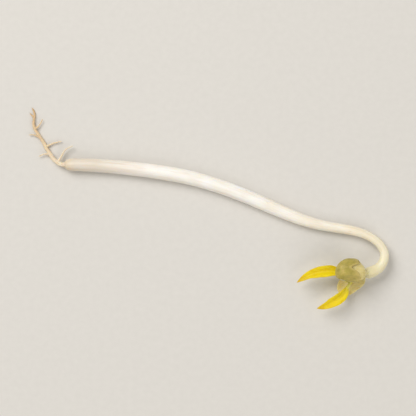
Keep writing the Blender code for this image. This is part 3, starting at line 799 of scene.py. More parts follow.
close_finish(tree, shader, Base_Color=creased, Normal=crease_bump)

# %% [markdown]
# ## The joint of the bean
#
# The stem ends in the joint. Everything of the head grows out of it: the halves of the bean to both
# flanks and the shoot straight on. Every piece of the head is modelled lying flat at the origin and
# along +X. One function then puts it where it grows, from a turn, a slope and a roll.

# %% Where the pieces of the head grow
HEADING = math.degrees(math.atan2(joint_along.y, joint_along.x))
# The stalks leave the joint this far back, this far out as a share of its radius, and go in this deep.
STALKS_BACK = 0.40 * MM
STALKS_OUT = 0.95
STALK_DEPTH = 0.27 * MM


def placed(point, turn, slope=0.0, roll=0.0):
    """A matrix that turns a piece from the joint's heading, tips it up and rolls it, in degrees."""
    angles = (math.radians(roll), -math.radians(slope), math.radians(HEADING + turn))
    return IN_FRAME @ Matrix.Translation(point) @ Euler(angles, "XYZ").to_matrix().to_4x4()


joint_radius = stem_axis.value(stem_axis.length)[3] / 2
flank = joint - STALKS_BACK * joint_along
to_flank = (STALKS_OUT * joint_radius - STALK_DEPTH) * joint_up
print("the joint looks towards", round(HEADING, 1), "degrees")

# %% [markdown]
# ## The two halves of the bean
#
# The halves are the seed leaves, or cotyledons: two fleshy lobes, domed on the back and nearly flat on
# the face that they turned to each other inside the skin. A short stalk, wider where it meets the lobe,
# holds each to the joint. As the sprout feeds on them they shrink, so the back wrinkles finely and a
# groove sinks along the face. A stretched sphere with one side pressed in comes close, but it has no
# stalk, and its poles would pinch. Rings from the stalk to the far end give both in one skin.

# %% The shape of a half bean
SEED_LEAF_LENGTH = 5.7 * MM
SEED_LEAF_WIDTH = 3.8 * MM
# How far the back and the face bulge, how deep the face is hollow, and how far the bean bends sideways.
SEED_LEAF_BACK = 1.62 * MM
SEED_LEAF_FACE = 0.34 * MM
SEED_LEAF_HOLLOW = 0.42 * MM
SEED_LEAF_BEND = 0.42 * MM
# How far the half stands out from the line of its stalk.
SEED_LEAF_OFFSET = 0.42 * MM
STALK = 0.80 * MM
STALK_LENGTH = 1.0 * MM
# Powers below 1 that make the outline and the back fuller than an ellipse.
BLUNTNESS = 0.84
BACK_FULLNESS = 0.9
# The relief of the back, in millimetres: wrinkles, then swellings and grain with how fine they are.
BACK_WRINKLES = ((0.015, 11, CREST, 0, 2.2, 1 / 2.3),)
BACK_LUMPS = ((0.11, 0.8), (0.03, 3))
# The relief of the face: a groove, and dimples with how fine they are.
FACE_GROOVE, FACE_GROOVE_WIDTH = 0.13, 0.13
FACE_DIMPLES = ((0.07, 1.6),)
# How quickly the random relief changes across a half, along it, and from one half to the other.
LUMPS_ACROSS, LUMPS_ALONG, LUMPS_APART = 3.2, 1.3, 5.0


def seed_leaf_point(turn, angle, grow, side):
    """A point on half a bean: turn runs from its stalk to its far end, and angle round its section."""
    cosine = math.cos(turn)
    x = -(SEED_LEAF_LENGTH / 2 + grow) * math.copysign(abs(cosine) ** BLUNTNESS, cosine)
    girth = max(math.sin(turn), 0.0) ** BLUNTNESS
    y = (SEED_LEAF_WIDTH / 2 + grow) * girth * math.cos(angle)
    height = math.sin(angle)
    if height > 0:
        z = (SEED_LEAF_BACK + grow) * girth * height**BACK_FULLNESS
    else:
        z = (SEED_LEAF_FACE + grow) * girth * height + SEED_LEAF_HOLLOW * girth**2 * height**2
    y += SEED_LEAF_BEND * ((2 * x / SEED_LEAF_LENGTH) ** 2 - 0.5)
    return Vector((x + SEED_LEAF_LENGTH / 2 + STALK_LENGTH, y, side * (z + SEED_LEAF_OFFSET)))


def seed_leaf_detail(turn, angle, side):
    """Fine wrinkles on the back, and the groove and dimples of the face, as a change of height."""
    girth = math.sin(turn)
    across = math.cos(angle)
    spot = (LUMPS_ACROSS * across * girth, LUMPS_ALONG * turn, LUMPS_APART * side)
    if math.sin(angle) > 0:
        return (ripples(BACK_WRINKLES, across, turn) + rough(BACK_LUMPS, *spot)) * girth * MM
    groove = FACE_GROOVE * hill(across, 0.0, FACE_GROOVE_WIDTH) * girth**2
    return (groove + rough(FACE_DIMPLES, *spot) * girth) * MM


print("a half bean is", SEED_LEAF_LENGTH / MM, "by", SEED_LEAF_WIDTH / MM, "mm")

# %% [markdown]
# The upper half stands up from the joint and carries the skin. The lower one lies on the floor on its
# back, so it is lowered until it only just touches.

# %% Grow both halves
BEAN_SIDES = 72
BEAN_RINGS = 64
# The rings start and end at these turns from the stalk, and the relief sets in over this much.
FIRST_TURN, LAST_TURN = math.radians(26), math.radians(176)
RELIEF_EASE = math.radians(20)
# The stalk starts inside the stem. Each row is a place on its axis: how far out, as a share of the
# stalk's length, how far sideways and up, as shares of the way to the half, and its swelling.
STALK_ROWS = (
    (-1.40, 0.0, -1.60, 0.60),
    (-0.70, 0.0, -0.82, 0.95),
    (0.0, 0.0, -0.16, 1.04),
    (0.42, 0.0, 0.0, 0.98),
    (0.76, 0.5, 0.5, 1.15),
    (1.0, 1.0, 1.0, 1.38),
)
STALK_SHOWN = 0.94
STALK_STEP = 0.07 * MM
# The halves lie a hair inside the outline that the skin is measured from.
BEAN_SHRUNK = 0.01 * MM
# The air left under the lower half.
FLOOR_GAP = 0.01 * MM
# Each half's turn from the joint's heading, its slope and its roll, in degrees.
UPPER_POSE = (-24, 17, 0)
LOWER_POSE = (17, 1, 0)


def seed_leaf(name, side, place):
    """Half a bean with its back towards +Z or -Z, and its stalk starting at the origin."""
    angles = [2 * math.pi * k / BEAN_SIDES for k in range(BEAN_SIDES)]
    lean, rise = 0.5 * SEED_LEAF_BEND, side * SEED_LEAF_OFFSET
    rows = [(x * STALK_LENGTH, y * lean, z * rise, swell * STALK / 2) for x, y, z, swell in STALK_ROWS]
    stalk = Axis(rows)
    rings = []
    for s in stations(0.0, STALK_SHOWN * stalk.length, STALK_STEP):
        x, y, z, radius = stalk.value(s)
        middle = Vector((x, y, z))
        rings.append([middle + radius * Vector((0, math.cos(a), side * math.sin(a))) for a in angles])
    for turn in stations(FIRST_TURN, LAST_TURN, (LAST_TURN - FIRST_TURN) / BEAN_RINGS):
        relief = side * min(1.0, (turn - FIRST_TURN) / RELIEF_EASE)
        ring = [seed_leaf_point(turn, angle, -BEAN_SHRUNK, side) for angle in angles]
        for point, angle in zip(ring, angles):
            point.z += relief * seed_leaf_detail(turn, angle, side)
        rings.append(ring)
    return grown(name, rings, [[point / MM for point in ring] for ring in rings], place)


upper_place = placed(flank + to_flank, *UPPER_POSE)
upper_half = seed_leaf("bean_half_upper", 1, upper_place)
lower_half = seed_leaf("bean_half_lower", -1, placed(flank - to_flank, *LOWER_POSE))
lowest = min(v.co.z for v in lower_half.data.vertices)
lower_half.data.transform(Matrix.Translation((0, 0, FLOOR_GAP - lowest)))
report(upper_half, "cotyledon_upper")
report(lower_half, "cotyledon_lower")

# %% [markdown]
# ### The finish of the bean halves
#
# The flesh is starch and water under a waxy skin: cream on the face, a stronger yellow on the back and
# towards the stalk, with a little green where light reached it. Fine paler veins fan out under the
# skin.

# %% Finish: bean flesh, waxy and pale yellow
tree, shader = open_finish(
    "bean_flesh",
    upper_half,
    lower_half,
    Roughness=0.44,
    IOR=1.42,
    Subsurface_Weight=0.4,
    Subsurface_Radius=(1.0, 0.86, 0.4),
    Subsurface_Scale=0.7 * MM,
    Coat_Weight=0.12,
    Coat_Roughness=0.3,
)
straight = add(tree, "ShaderNodeAttribute", attribute_name="straight").outputs["Vector"]
from_stalk = add(tree, "ShaderNodeSeparateXYZ", {"Vector": straight}).outputs["X"]
far_end = (SEED_LEAF_LENGTH + STALK_LENGTH) / MM
bean_share = add(tree, "ShaderNodeMath", {0: from_stalk, 1: far_end}, operation="DIVIDE")
bean_stops = (
    (0.0, "#E8E1BA"),
    (0.10, "#E8DFAE"),
    (0.24, "#E6DA9E"),
    (0.55, "#E8DA9C"),
    (1.0, "#DCCB84"),
)
bean_tone = add(tree, "ShaderNodeValToRGB", {"Fac": bean_share}, stops=bean_stops)
mottling = add(tree, "ShaderNodeTexNoise", {"Vector": straight, "Scale": 0.9, "Detail": 4})
mottle_stops = ((0.34, "#E6DCAA"), (0.5, "#FAF4E0"), (0.66, "#FFFFFF"))
mottle_tone = add(tree, "ShaderNodeValToRGB", {"Fac": mottling}, stops=mottle_stops)
mottled = add(tree, "ShaderNodeMix", {SHARE: 0.65, UNDER: bean_tone, OVER: mottle_tone}, **TINT)
# Veins half a millimetre apart run from the stalk to the far end and wander a little.
vein_place = add(tree, "ShaderNodeMapping", {"Vector": straight, "Scale": (0.22, 1.0, 0.45)})
bean_veins = add(
    tree,
    "ShaderNodeTexWave",
    {"Vector": vein_place, "Scale": 0.62, "Distortion": 5.0, "Detail": 2, "Detail Scale": 1.2},
    bands_direction="Y",
)
vein_share = add(
    tree, "ShaderNodeMapRange", {"Value": bean_veins, "From Min": 0.75, "From Max": 1.0, "To Max": 0.14}
)
vein_colour = linear("#F8F1CF")
veined = add(tree, "ShaderNodeMix", {SHARE: vein_share, UNDER: mottled, OVER: vein_colour}, **BLEND)
pores = add(tree, "ShaderNodeTexNoise", {"Vector": straight, "Scale": 5.0, "Detail": 3})
pore_bump = add(tree, "ShaderNodeBump", {"Height": pores, "Strength": 0.4, "Distance": 0.035 * MM})
close_finish(tree, shader, Base_Color=veined, Normal=pore_bump)

# %% [markdown]
# ## The green skin
#
# The skin is what is left of the mung bean's green coat. It split as the bean swelled, and a loose cap
# of it still sits on the outer end of the upper half. It is as thin as paper, with a torn, slightly
# curled edge, creases that run into the tears, and the pale oval scar where the bean hung in its pod.
# A closed shell would hide how thin it is. An open sheet of rings, from the bean's far end to the tear,
# is wrinkled first and then given its thickness by a Solidify modifier.

# %% The torn skin
# How much of the bean the skin covers, how loosely it hangs under it, how much looser it is at the
# tear, how far it stands off and how thick it is.
SKIN_REACH = 0.56
SKIN_SLACK = 0.75 * MM
SKIN_SPREAD = 0.25
SKIN_GAP = 0.27 * MM
SKIN_PAPER = 0.10 * MM
SKIN_FAR_END = math.radians(177)
SKIN_SIDES = 120
SKIN_RINGS = 46
# The torn edge's large and small teeth, as shares of the skin's reach.
TEARS = (
    (0.11, 2, 0.6, 0, 0, 1),
    (0.08, 5, 1.9, 0, 0, 1),
    (0.04, 9, 0.0, 0, 0, 1),
    (0.010, 19, 0.4, 0, 0, 1),
    (0.005, 33, 1.1, 0, 0, 1),
)
# In millimetres: folds that grow towards the tear, and coarse and fine creases with how fine they are.
SKIN_FOLDS = ((0.034, 9, 1.9, 0, 2.0, 1 / 3), (0.012, 23, 0, 0, 3.0, 1 / 4))
SKIN_CREASES = ((0.034, 1.3), (0.016, 4.5))
# How quickly the creases change round the skin and along it, and the share over which they set in.
CREASES_ROUND, CREASES_ALONG, CREASES_EASE = 1.7, 2.4, 1 / 3
# How far the torn edge curls away, in millimetres, and where along the skin that starts.
EDGE_CURL, CURL_START = 0.10, 0.86
# The scar: its place round the bean and along the skin, and its half width and half length there.
SCAR_ANGLE, SCAR_SHARE = 0.30, 0.52
SCAR_WIDTH, SCAR_LENGTH = 0.16, 0.17
# How far its rim rises, in millimetres, and how wide it is.
SCAR_RIM, SCAR_RIM_WIDTH = 0.07, math.sqrt(1 / 3)
# How far its middle sinks, and how steeply.
SCAR_DEPTH, SCAR_STEEPNESS = 0.05, 2


def skin_lift(share, angle):
    """How far the skin stands off the bean, with its creases, folds, curled edge and scar."""
    spot = (CREASES_ROUND * math.cos(angle), CREASES_ROUND * math.sin(angle), CREASES_ALONG * share)
    creases = rough(SKIN_CREASES, *spot) * min(1.0, share / CREASES_EASE)
    folds = share * ripples(SKIN_FOLDS, angle, share)
    curl = EDGE_CURL * max(share - CURL_START, 0.0) / (1 - CURL_START)
    off = ((angle - SCAR_ANGLE) / SCAR_WIDTH) ** 2 + ((share - SCAR_SHARE) / SCAR_LENGTH) ** 2
    scar = SCAR_RIM * hill(off, 1.0, SCAR_RIM_WIDTH) - SCAR_DEPTH * math.exp(-SCAR_STEEPNESS * off)
    return SKIN_GAP + (creases + folds + curl + scar) * MM


def skin_point(share, angle):
    """A point of the skin: share runs from the far end of the bean to the torn edge."""
    edge = math.pi * (1 - SKIN_REACH * (1 + ripples(TEARS, angle)))
    turn = SKIN_FAR_END + (edge - SKIN_FAR_END) * share
    point = seed_leaf_point(turn, angle, skin_lift(share, angle), 1)
    if math.sin(angle) < 0:
        point.z += SKIN_SLACK * math.sin(angle) * math.sin(turn) * (1 + SKIN_SPREAD * share)
    return point


angles = [2 * math.pi * k / SKIN_SIDES for k in range(SKIN_SIDES)]
shares = stations(0.0, 1.0, 1.0 / SKIN_RINGS)
rings = [[skin_point(share, angle) for angle in angles] for share in shares]
straight = [[(share, math.cos(angle), math.sin(angle)) for angle in angles] for share in shares]
skin = grown("bean_skin", rings, straight, upper_place, close_end=False)
paper = skin.modifiers.new("paper", "SOLIDIFY")
paper.thickness = SKIN_PAPER
paper.offset = 0.0
settle(skin)
report(skin, "seed_coat")

# %% [markdown]
# ### The skin's finish
#
# Wet bean skin is olive green and dull, darker in its creases and freckled. The torn rim dries first
# and turns straw coloured. The scar is nearly white. The scar and the rim are found from what each
# point remembers: how far it is towards the tear, and where it is round the bean.

# %% Finish: bean skin, thin dull olive paper with a dry rim and a pale scar
tree, shader = open_finish(
    "bean_skin",
    skin,
    Roughness=0.5,
    IOR=1.45,
    Subsurface_Weight=0.2,
    Subsurface_Radius=(0.8, 1.0, 0.3),
    Subsurface_Scale=0.25 * MM,
    Sheen_Weight=0.08,
)
straight = add(tree, "ShaderNodeAttribute", attribute_name="straight").outputs["Vector"]
skin_share = add(tree, "ShaderNodeSeparateXYZ", {"Vector": straight}).outputs["X"]
in_place = add(tree, "ShaderNodeTexCoord").outputs["Object"]
# Blotches about a millimetre across, and freckles of 0.2 mm.
blotches = add(
    tree, "ShaderNodeTexNoise", {"Vector": in_place, "Scale": 900, "Detail": 4, "Roughness": 0.6}
)
skin_stops = ((0.30, "#978A3B"), (0.46, "#AE9F4A"), (0.60, "#BDAA54"), (0.76, "#CBB568"))
skin_tone = add(tree, "ShaderNodeValToRGB", {"Fac": blotches}, stops=skin_stops)
freckles = add(tree, "ShaderNodeTexNoise", {"Vector": in_place, "Scale": 4200, "Detail": 2})
# Fine lines run from the far end of the bean towards the tear, a fifth of a millimetre apart.
line_place = add(tree, "ShaderNodeMapping", {"Vector": straight, "Scale": (0.35, 1.0, 1.0)})
lines = add(
    tree, "ShaderNodeTexNoise", {"Vector": line_place, "Scale": 9.0, "Detail": 3, "Roughness": 0.5}
)
# How far a point is from the scar's middle, in a round the size of the scar.
scar_spot = (SCAR_SHARE, math.cos(SCAR_ANGLE), math.sin(SCAR_ANGLE))
scar_off = add(tree, "ShaderNodeVectorMath", {0: straight, 1: scar_spot}, operation="SUBTRACT")
scar_shape = add(tree, "ShaderNodeMapping", {"Vector": scar_off, "Scale": (1.0, 1.25, 1.25)})
scar_far = add(tree, "ShaderNodeVectorMath", {0: scar_shape}, operation="LENGTH").outputs["Value"]
# Each mark: what it is read from, where it starts and is full, how much it covers and its colour.
MARKS = (
    (freckles, 0.63, 0.74, 0.28, "#75692A"),
    (lines, 0.52, 0.68, 0.30, "#897A34"),
    (skin_share, 0.84, 1.0, 0.7, "#CDB873"),
    (scar_far, 0.24, 0.18, 0.5, "#7A6E2E"),
    (scar_far, 0.17, 0.12, 0.8, "#E8DEBE"),
)
marked = skin_tone
for source, start, full, cover, hex_colour in MARKS:
    spread = {"Value": source, "From Min": start, "From Max": full, "To Max": cover}
    mark = add(tree, "ShaderNodeMapRange", spread)
    marked = add(tree, "ShaderNodeMix", {SHARE: mark, UNDER: marked, OVER: linear(hex_colour)}, **BLEND)
grain_bump = add(tree, "ShaderNodeBump", {"Height": blotches, "Strength": 0.4, "Distance": 0.04 * MM})
line_bump = add(
    tree,
    "ShaderNodeBump",
    {"Height": lines, "Strength": 0.5, "Distance": 0.04 * MM, "Normal": grain_bump},
)
close_finish(tree, shader, Base_Color=marked, Normal=line_bump)

# %% [markdown]
# ## The shoot and its bud
#
# Between the halves the young shoot, or epicotyl, runs straight on from the joint. It swells to a bud,
# where both leaves are set, and ends in a small point with three tiny scales beside it. It is made as
# the root was: the shoot and the scales are grown one by one and wrapped in a single skin.

# %% Grow the shoot
# The shoot is made along -X from the joint. Each row is a place and a thickness in millimetres.
SHOOT_AXIS = (
    (0.80, 0.0, 0.80),
    (0.0, 0.0, 0.80),
    (-0.55, 0.0, 0.76),
    (-1.6, -0.03, 0.90),
    (-2.6, -0.10, 1.00),
    (-3.2, -0.16, 1.26),
    (-3.65, -0.20, 1.04),
    (-4.0, -0.22, 0.62),
    (-4.45, -0.25, 0.26),
)
SHOOT_SIDES = 32
SHOOT_STEP = 0.07 * MM
SHOOT_POINT = 0.3 * MM
SHOOT_VOXEL = 0.045 * MM
SHOOT_DRAWN_IN = 0.97
SHOOT_RIBS = ((0.03, 6, CREST, 1, 0, 1),)
SHOOT_GRAIN = ((0.02, 1),)
# The flare at the joint and the widening at the bud: how much, where and over what length in mm.
FLARE, FLARE_PLACE, FLARE_WIDTH = 0.30, 1.25, 0.40
BUD, BUD_PLACE, BUD_WIDTH = 0.30, -3.4, 0.55
# Each scale: its foot along the shoot and to the side, its heading in degrees, and its length in mm.
BUD_SCALES = ((-3.15, 0.34, 160.0, 0.95), (-3.15, -0.66, 206.0, 0.90), (-3.45, -0.18, 184.0, 1.1))
SCALE_SIDE = 0.8 * MM
# A scale's width and height halfway along it, as shares, and where along it each would run out.
SCALE_SHAPE = ((1, 0.50, 1.15), (2, 0.62, 1.10))
shoot_axis = Axis([(x * MM, y * MM, 0.0, width * MM) for x, y, width in SHOOT_AXIS])


def shoot_ring(s):
    """A ring of the shoot, which flares at the joint, has lengthwise ribs and widens at the bud."""
    centre, _, side, up = shoot_axis.frame(s)
    at = s / MM
    radius = shoot_axis.value(s)[3] / 2 * pointed(s, shoot_axis.length, SHOOT_POINT)
    radius *= 1 + FLARE * hill(at, FLARE_PLACE, FLARE_WIDTH)
    spread = 1 + BUD * hill(centre.x / MM, BUD_PLACE, BUD_WIDTH)
    ring = []
    for k in range(SHOOT_SIDES):
        angle = 2 * math.pi * (k + 0.5) / SHOOT_SIDES
        across, height = math.cos(angle), math.sin(angle)
        ribs = ripples(SHOOT_RIBS, angle, at) + rough(SHOOT_GRAIN, across, height, at)
        out = radius * (SHOOT_DRAWN_IN + ribs)
        ring.append(centre + out * (spread * across * side + height * up))
    return ring


def bud_scale(x, y, heading, length):
    """A tiny scale: a drop that narrows to its tip."""
    bm = bmesh.new()
    bmesh.ops.create_uvsphere(bm, u_segments=20, v_segments=14, radius=0.5)
    for vert in bm.verts:
        point = max(0.0, 0.5 + vert.co.x)
        for i, share, end in SCALE_SHAPE:
            vert.co[i] *= share * (end - point) / (end - 0.5)
    turn = Matrix.Rotation(math.radians(heading), 4, "Z")
    bmesh.ops.scale(bm, verts=bm.verts, vec=(length * MM, SCALE_SIDE, SCALE_SIDE))
    bmesh.ops.translate(bm, verts=bm.verts, vec=(length / 2 * MM, 0, 0))
    bmesh.ops.transform(bm, matrix=Matrix.Translation((x * MM, y * MM, 0)) @ turn, verts=bm.verts)
    return as_object("scale", bm)


rings = [shoot_ring(s) for s in stations(0.0, shoot_axis.length, SHOOT_STEP)]
parts = [grown("shoot", rings, rings)] + [bud_scale(*scale) for scale in BUD_SCALES]
shoot = wrapped("shoot", parts, SHOOT_VOXEL)
remember(shoot, [v.co for v in shoot.data.vertices])
shoot.data.transform(placed(joint, 180))
report(shoot, "epicotyl")

# %% [markdown]
# ### The finish of the shoot
#
# The shoot is as juicy as the stem, but light has reached it: pale yellow green at its foot and a
# fuller yellow green at the bud. Fine fibres run along it.

# %% Finish: young shoot, juicy and pale yellow green
tree, shader = open_finish(
    "young_shoot",
    shoot,
    Roughness=0.40,
    IOR=1.38,
    Subsurface_Weight=0.4,
    Subsurface_Radius=(1.0, 0.85, 0.45),
    Subsurface_Scale=0.6 * MM,
    Coat_Weight=0.15,
    Coat_Roughness=0.25,
)
straight = add(tree, "ShaderNodeAttribute", attribute_name="straight").outputs["Vector"]
shoot_length = add(tree, "ShaderNodeSeparateXYZ", {"Vector": straight}).outputs["X"]
shoot_share = add(tree, "ShaderNodeMapRange", {"Value": shoot_length, "From Min": 0.0, "From Max": -4.4})
shoot_stops = ((0.0, "#EFE8BC"), (0.45, "#EDE5A8"), (0.75, "#E2D873"), (1.0, "#D3C94F"))
shoot_tone = add(tree, "ShaderNodeValToRGB", {"Fac": shoot_share}, stops=shoot_stops)
# The fibres are 0.2 mm wide and a millimetre long.
fibre_place = add(tree, "ShaderNodeMapping", {"Vector": straight, "Scale": (0.2, 1.0, 1.0)})
fibres = add(tree, "ShaderNodeTexNoise", {"Vector": fibre_place, "Scale": 5.0, "Detail": 4})
fibre_stops = ((0.35, "#DDD596"), (0.6, "#FFFFFF"))
fibre_tone = add(tree, "ShaderNodeValToRGB", {"Fac": fibres}, stops=fibre_stops)
fibred = add(tree, "ShaderNodeMix", {SHARE: 0.6, UNDER: shoot_tone, OVER: fibre_tone}, **TINT)
fibre_bump = add(tree, "ShaderNodeBump", {"Height": fibres, "Strength": 0.4, "Distance": 0.03 * MM})
close_finish(tree, shader, Base_Color=fibred, Normal=fibre_bump)

# %% [markdown]
# ## The first leaves
#
# The two first leaves grew in the dark, so they are bright yellow instead of green, narrow, and still
# folded along the midrib, with wavy, crumpled margins and a pointed tip. Veins leave the midrib like
# the barbs of a feather, and the blade bulges up between them.
# A flat grid could be bent into a leaf, but the stalk would be a separate tube stuck on. Instead each
# ring starts round in the stalk and is drawn out, ring by ring, into the thin folded section of the
# blade, so stalk and blade are one.

# %% The section of a folded leaf
LEAF_HALF = 18
# The blade's thickness at the midrib, what its margin and its tip lose of it, and the midrib under it.
BLADE = 0.34 * MM
MARGIN_LOSS, TIP_LOSS = 0.62, 0.7
MIDRIB, MIDRIB_WIDTH, MIDRIB_LOSS = 0.22 * MM, 0.20 * MM, 0.8
# Where along it the leaf is widest, and powers below 1 that make its foot and its tip fuller.
LEAF_WIDEST = 0.38
FOOT_FULLNESS, TIP_FULLNESS = 0.80, 0.85
# The fold rises this steeply beside the midrib. Outwards of a place it eases by a share.
FOLD_RISE = 2.4
FOLD_EASE, FOLD_EASE_PLACE, FOLD_EASE_WIDTH = 0.45, 0.475, 0.4
# How far a margin's wave reaches in towards the midrib.
WAVE_REACH = 0.125
# How much and how finely the margins curl at random, and how quickly that changes on the way out, from
# one side to the other and along the leaf.
CRUMPLE = ((0.30, 1),)
CRUMPLE_OUT, CRUMPLE_APART, CRUMPLE_ALONG = 2.0, 3, 6.0
# The pairs of veins, and how far each runs up the leaf on its way out.
VEIN_PAIRS = 8
VEIN_SLANT = 1.6
# How far the blade bulges between the veins, and the half width from which it does so fully.
QUILT = 0.018 * MM
QUILT_FULL_WIDTH = 0.8 * MM


def leaf_outline(share):
    """Half the leaf's unfolded width at a share of its length, as a share of the widest."""
    rise = math.sin(math.pi * min(share / LEAF_WIDEST, 1) / 2) ** FOOT_FULLNESS
    fall = math.cos(math.pi * max(share - LEAF_WIDEST, 0) / (2 * (1 - LEAF_WIDEST))) ** TIP_FULLNESS
    return max(rise * fall, 0.0)


def leaf_section(half_width, fold, wave, share, phase):
    """The blade's section, once along its upper face and back along its lower face."""
    middle = []
    for side in (-1, 1):
        y = z = 0.0
        half = [(0.0, 0.0, 0.0, 0.0)]
        for k in range(1, LEAF_HALF + 1):
            out = (k - 0.5) / LEAF_HALF
            ease = FOLD_EASE * max(out - FOLD_EASE_PLACE, 0) / FOLD_EASE_WIDTH
            slope = fold * (min(1.0, FOLD_RISE * out) - ease) + side * wave * (out + WAVE_REACH)
            place = (CRUMPLE_OUT * out + CRUMPLE_APART * side, CRUMPLE_ALONG * share, phase)
            slope += out * out * rough(CRUMPLE, *place)
            y += half_width / LEAF_HALF * math.cos(slope)
            z += half_width / LEAF_HALF * math.sin(slope)
            half.append((side * y, z, side * slope, side * k / LEAF_HALF))
        middle += half[:0:-1] if side < 0 else half
    upper, lower = [], []
    for y, z, slope, out in middle:
        u = abs(out)
        quilt = QUILT * math.cos(2 * math.pi * (VEIN_PAIRS * share - VEIN_SLANT * u)) * 4 * u * (1 - u)
        quilt *= min(1.0, half_width / QUILT_FULL_WIDTH)
        thick = BLADE / 2 * (1 - MARGIN_LOSS * u * u) * (1 - TIP_LOSS * share**6)
        rib = MIDRIB * (1 - MIDRIB_LOSS * share) * hill(y, 0.0, MIDRIB_WIDTH)
        across, height = -math.sin(slope), math.cos(slope)
        upper.append((y + across * (quilt + thick), z + height * (quilt + thick)))
        lower.append((y + across * (quilt - thick - rib), z + height * (quilt - thick - rib)))
    outs = [row[3] for row in middle]
    return upper + lower[::-1], outs + outs[::-1]


print("points round a leaf:", 4 * LEAF_HALF + 2)

# %% [markdown]
# Each leaf has its own length, width, fold, bend and droop, so the pair doesn't look cast from one
# mould. Every point remembers how far out from the midrib it is, how far along the leaf, and which face
# it is on.

# %% Grow the leaves
LEAF_RINGS = 110
# The leaf's stalk: its thickness, the share of it that is drawn, its length and its rings' step.
PETIOLE = 0.62 * MM
PETIOLE_DRAWN_IN = 0.94
PETIOLE_LENGTH = 1.3 * MM
PETIOLE_STEP = 0.09 * MM
# The swelling at the stalk's foot: how much, then where and over what length.
PETIOLE_SWELLING = 0.30
PETIOLE_FOOT = (0.25 * MM, 0.35 * MM)
# The part of the outline that is grown, and the share in which the stalk turns into the blade.
LEAF_FOOT, LEAF_SPAN = 0.03, 0.968
BLADE_EASE = 0.13
# The fold is full where the blade has this share of its width, and opens by a share towards the tip.
FOLD_FULL_WIDTH = 0.62
FOLD_OPENS_BY = 0.35
# The margins' slow and quick waves, and how far the leaf twists.
LEAF_WAVES = ((0.17, 1, 0, 9.0, 0, 1), (0.05, 2, 0, 26.0, 0, 1))
LEAF_TWIST = 0.35
# Each leaf: its length and half width, and in radians its fold, its sideways bend, its droop and its
# phase.
LONG_LEAF = (9.2 * MM, 1.35 * MM, math.radians(60), 0.95, 0.40, 0.4)
SHORT_LEAF = (7.4 * MM, 1.25 * MM, math.radians(54), -0.80, 0.22, 2.2)
LONG_LEAF_POSE = (-36, 5, 16)
SHORT_LEAF_POSE = (42, 0, -22)
# The leaves are set on the bud this far from the joint and this far to its sides.
LEAF_REACH = 3.1 * MM
LEAF_SIDE = 0.42 * MM


def folded_leaf(name, length, half_width, fold, bend, droop, phase, place):
    """A folded leaf on a short stalk that starts at the origin and runs along +X."""
    count = 4 * LEAF_HALF + 2
    first_angle = math.pi * (0.5 + (count / 2 - 1) / count)
    angles = [first_angle - 2 * math.pi * k / count for k in range(count)]
    radius = PETIOLE_DRAWN_IN * PETIOLE / 2
    stalk = [Vector((0, radius * math.cos(a), radius * math.sin(a))) for a in angles]
    faces = [1.0] * (count // 2) + [-1.0] * (count // 2)
    rings, straight = [], []
    for x in stations(0.0, PETIOLE_LENGTH - PETIOLE_STEP, PETIOLE_STEP):
        foot = 1 + PETIOLE_SWELLING * hill(x, *PETIOLE_FOOT)
        rings.append([Vector((x, 0, 0)) + foot * spoke for spoke in stalk])
        straight.append([(0.0, 0.0, face) for face in faces])
    for share in stations(0.0, 1.0, 1 / (LEAF_RINGS - 1)):
        width = half_width * leaf_outline(LEAF_FOOT + LEAF_SPAN * share)
        closed = min(1.0, width / (FOLD_FULL_WIDTH * half_width))
        angle = fold * closed * (1 - FOLD_OPENS_BY * share)
        wave = closed * ripples(LEAF_WAVES, phase, share)
        section, outs = leaf_section(width, angle, wave, share, phase)
        opened = min(1.0, share / BLADE_EASE)
        opened = opened * opened * (3 - 2 * opened)
        twist = LEAF_TWIST * math.sin(phase)
        turn = Euler((twist * share, -droop * share, bend * share), "XYZ").to_matrix()
        x = PETIOLE_LENGTH + length * math.sin(bend * share) / bend
        y = length * (1 - math.cos(bend * share)) / bend
        middle = Vector((x, y, -droop * length * share * share / 2))
        ring = [spoke.lerp(Vector((0, *spot)), opened) for spoke, spot in zip(stalk, section)]
        rings.append([middle + turn @ point for point in ring])
        straight.append([(out, share, face) for out, face in zip(outs, faces)])
    return grown(name, rings, straight, place)


bud = joint + LEAF_REACH * joint_along
set_off = LEAF_SIDE * joint_side
long_leaf = folded_leaf("long_leaf", *LONG_LEAF, placed(bud + set_off, *LONG_LEAF_POSE))
short_leaf = folded_leaf("short_leaf", *SHORT_LEAF, placed(bud - set_off, *SHORT_LEAF_POSE))
report(long_leaf, "leaf_long")
report(short_leaf, "leaf_short")

# %% [markdown]
# ### The finish of the leaves
#
# A leaf that never saw the sun holds only yellow dye. It is thin enough to glow when light falls
# through it, its veins are paler than the blade, the foot of the blade is a little green, and the
# margin and tip turn ochre as they dry. The veins are drawn from what each point remembers: lines of
# equal share minus a part of the way out.

# %% Finish: young leaf, thin and bright yellow with paler veins
tree, shader = open_finish(
    "young_leaf",
    long_leaf,
    short_leaf,
    Roughness=0.46,
    IOR=1.42,
    Specular_IOR_Level=0.3,
    Subsurface_Weight=0.35,
    Subsurface_Radius=(1.0, 0.95, 0.15),
    Subsurface_Scale=0.35 * MM,
)
straight = add(tree, "ShaderNodeAttribute", attribute_name="straight").outputs["Vector"]
leaf_axes = add(tree, "ShaderNodeSeparateXYZ", {"Vector": straight}).outputs
in_place = add(tree, "ShaderNodeTexCoord").outputs["Object"]
leaf_share = leaf_axes["Y"]
leaf_out = add(tree, "ShaderNodeMath", {0: leaf_axes["X"]}, operation="ABSOLUTE")
leaf_stops = (
    (0.0, "#DAD370"),
    (0.08, "#E2D433"),
    (0.26, "#EAD412"),
    (0.80, "#E8CE0A"),
    (1.0, "#D3AC10"),
)
leaf_tone = add(tree, "ShaderNodeValToRGB", {"Fac": leaf_share}, stops=leaf_stops)
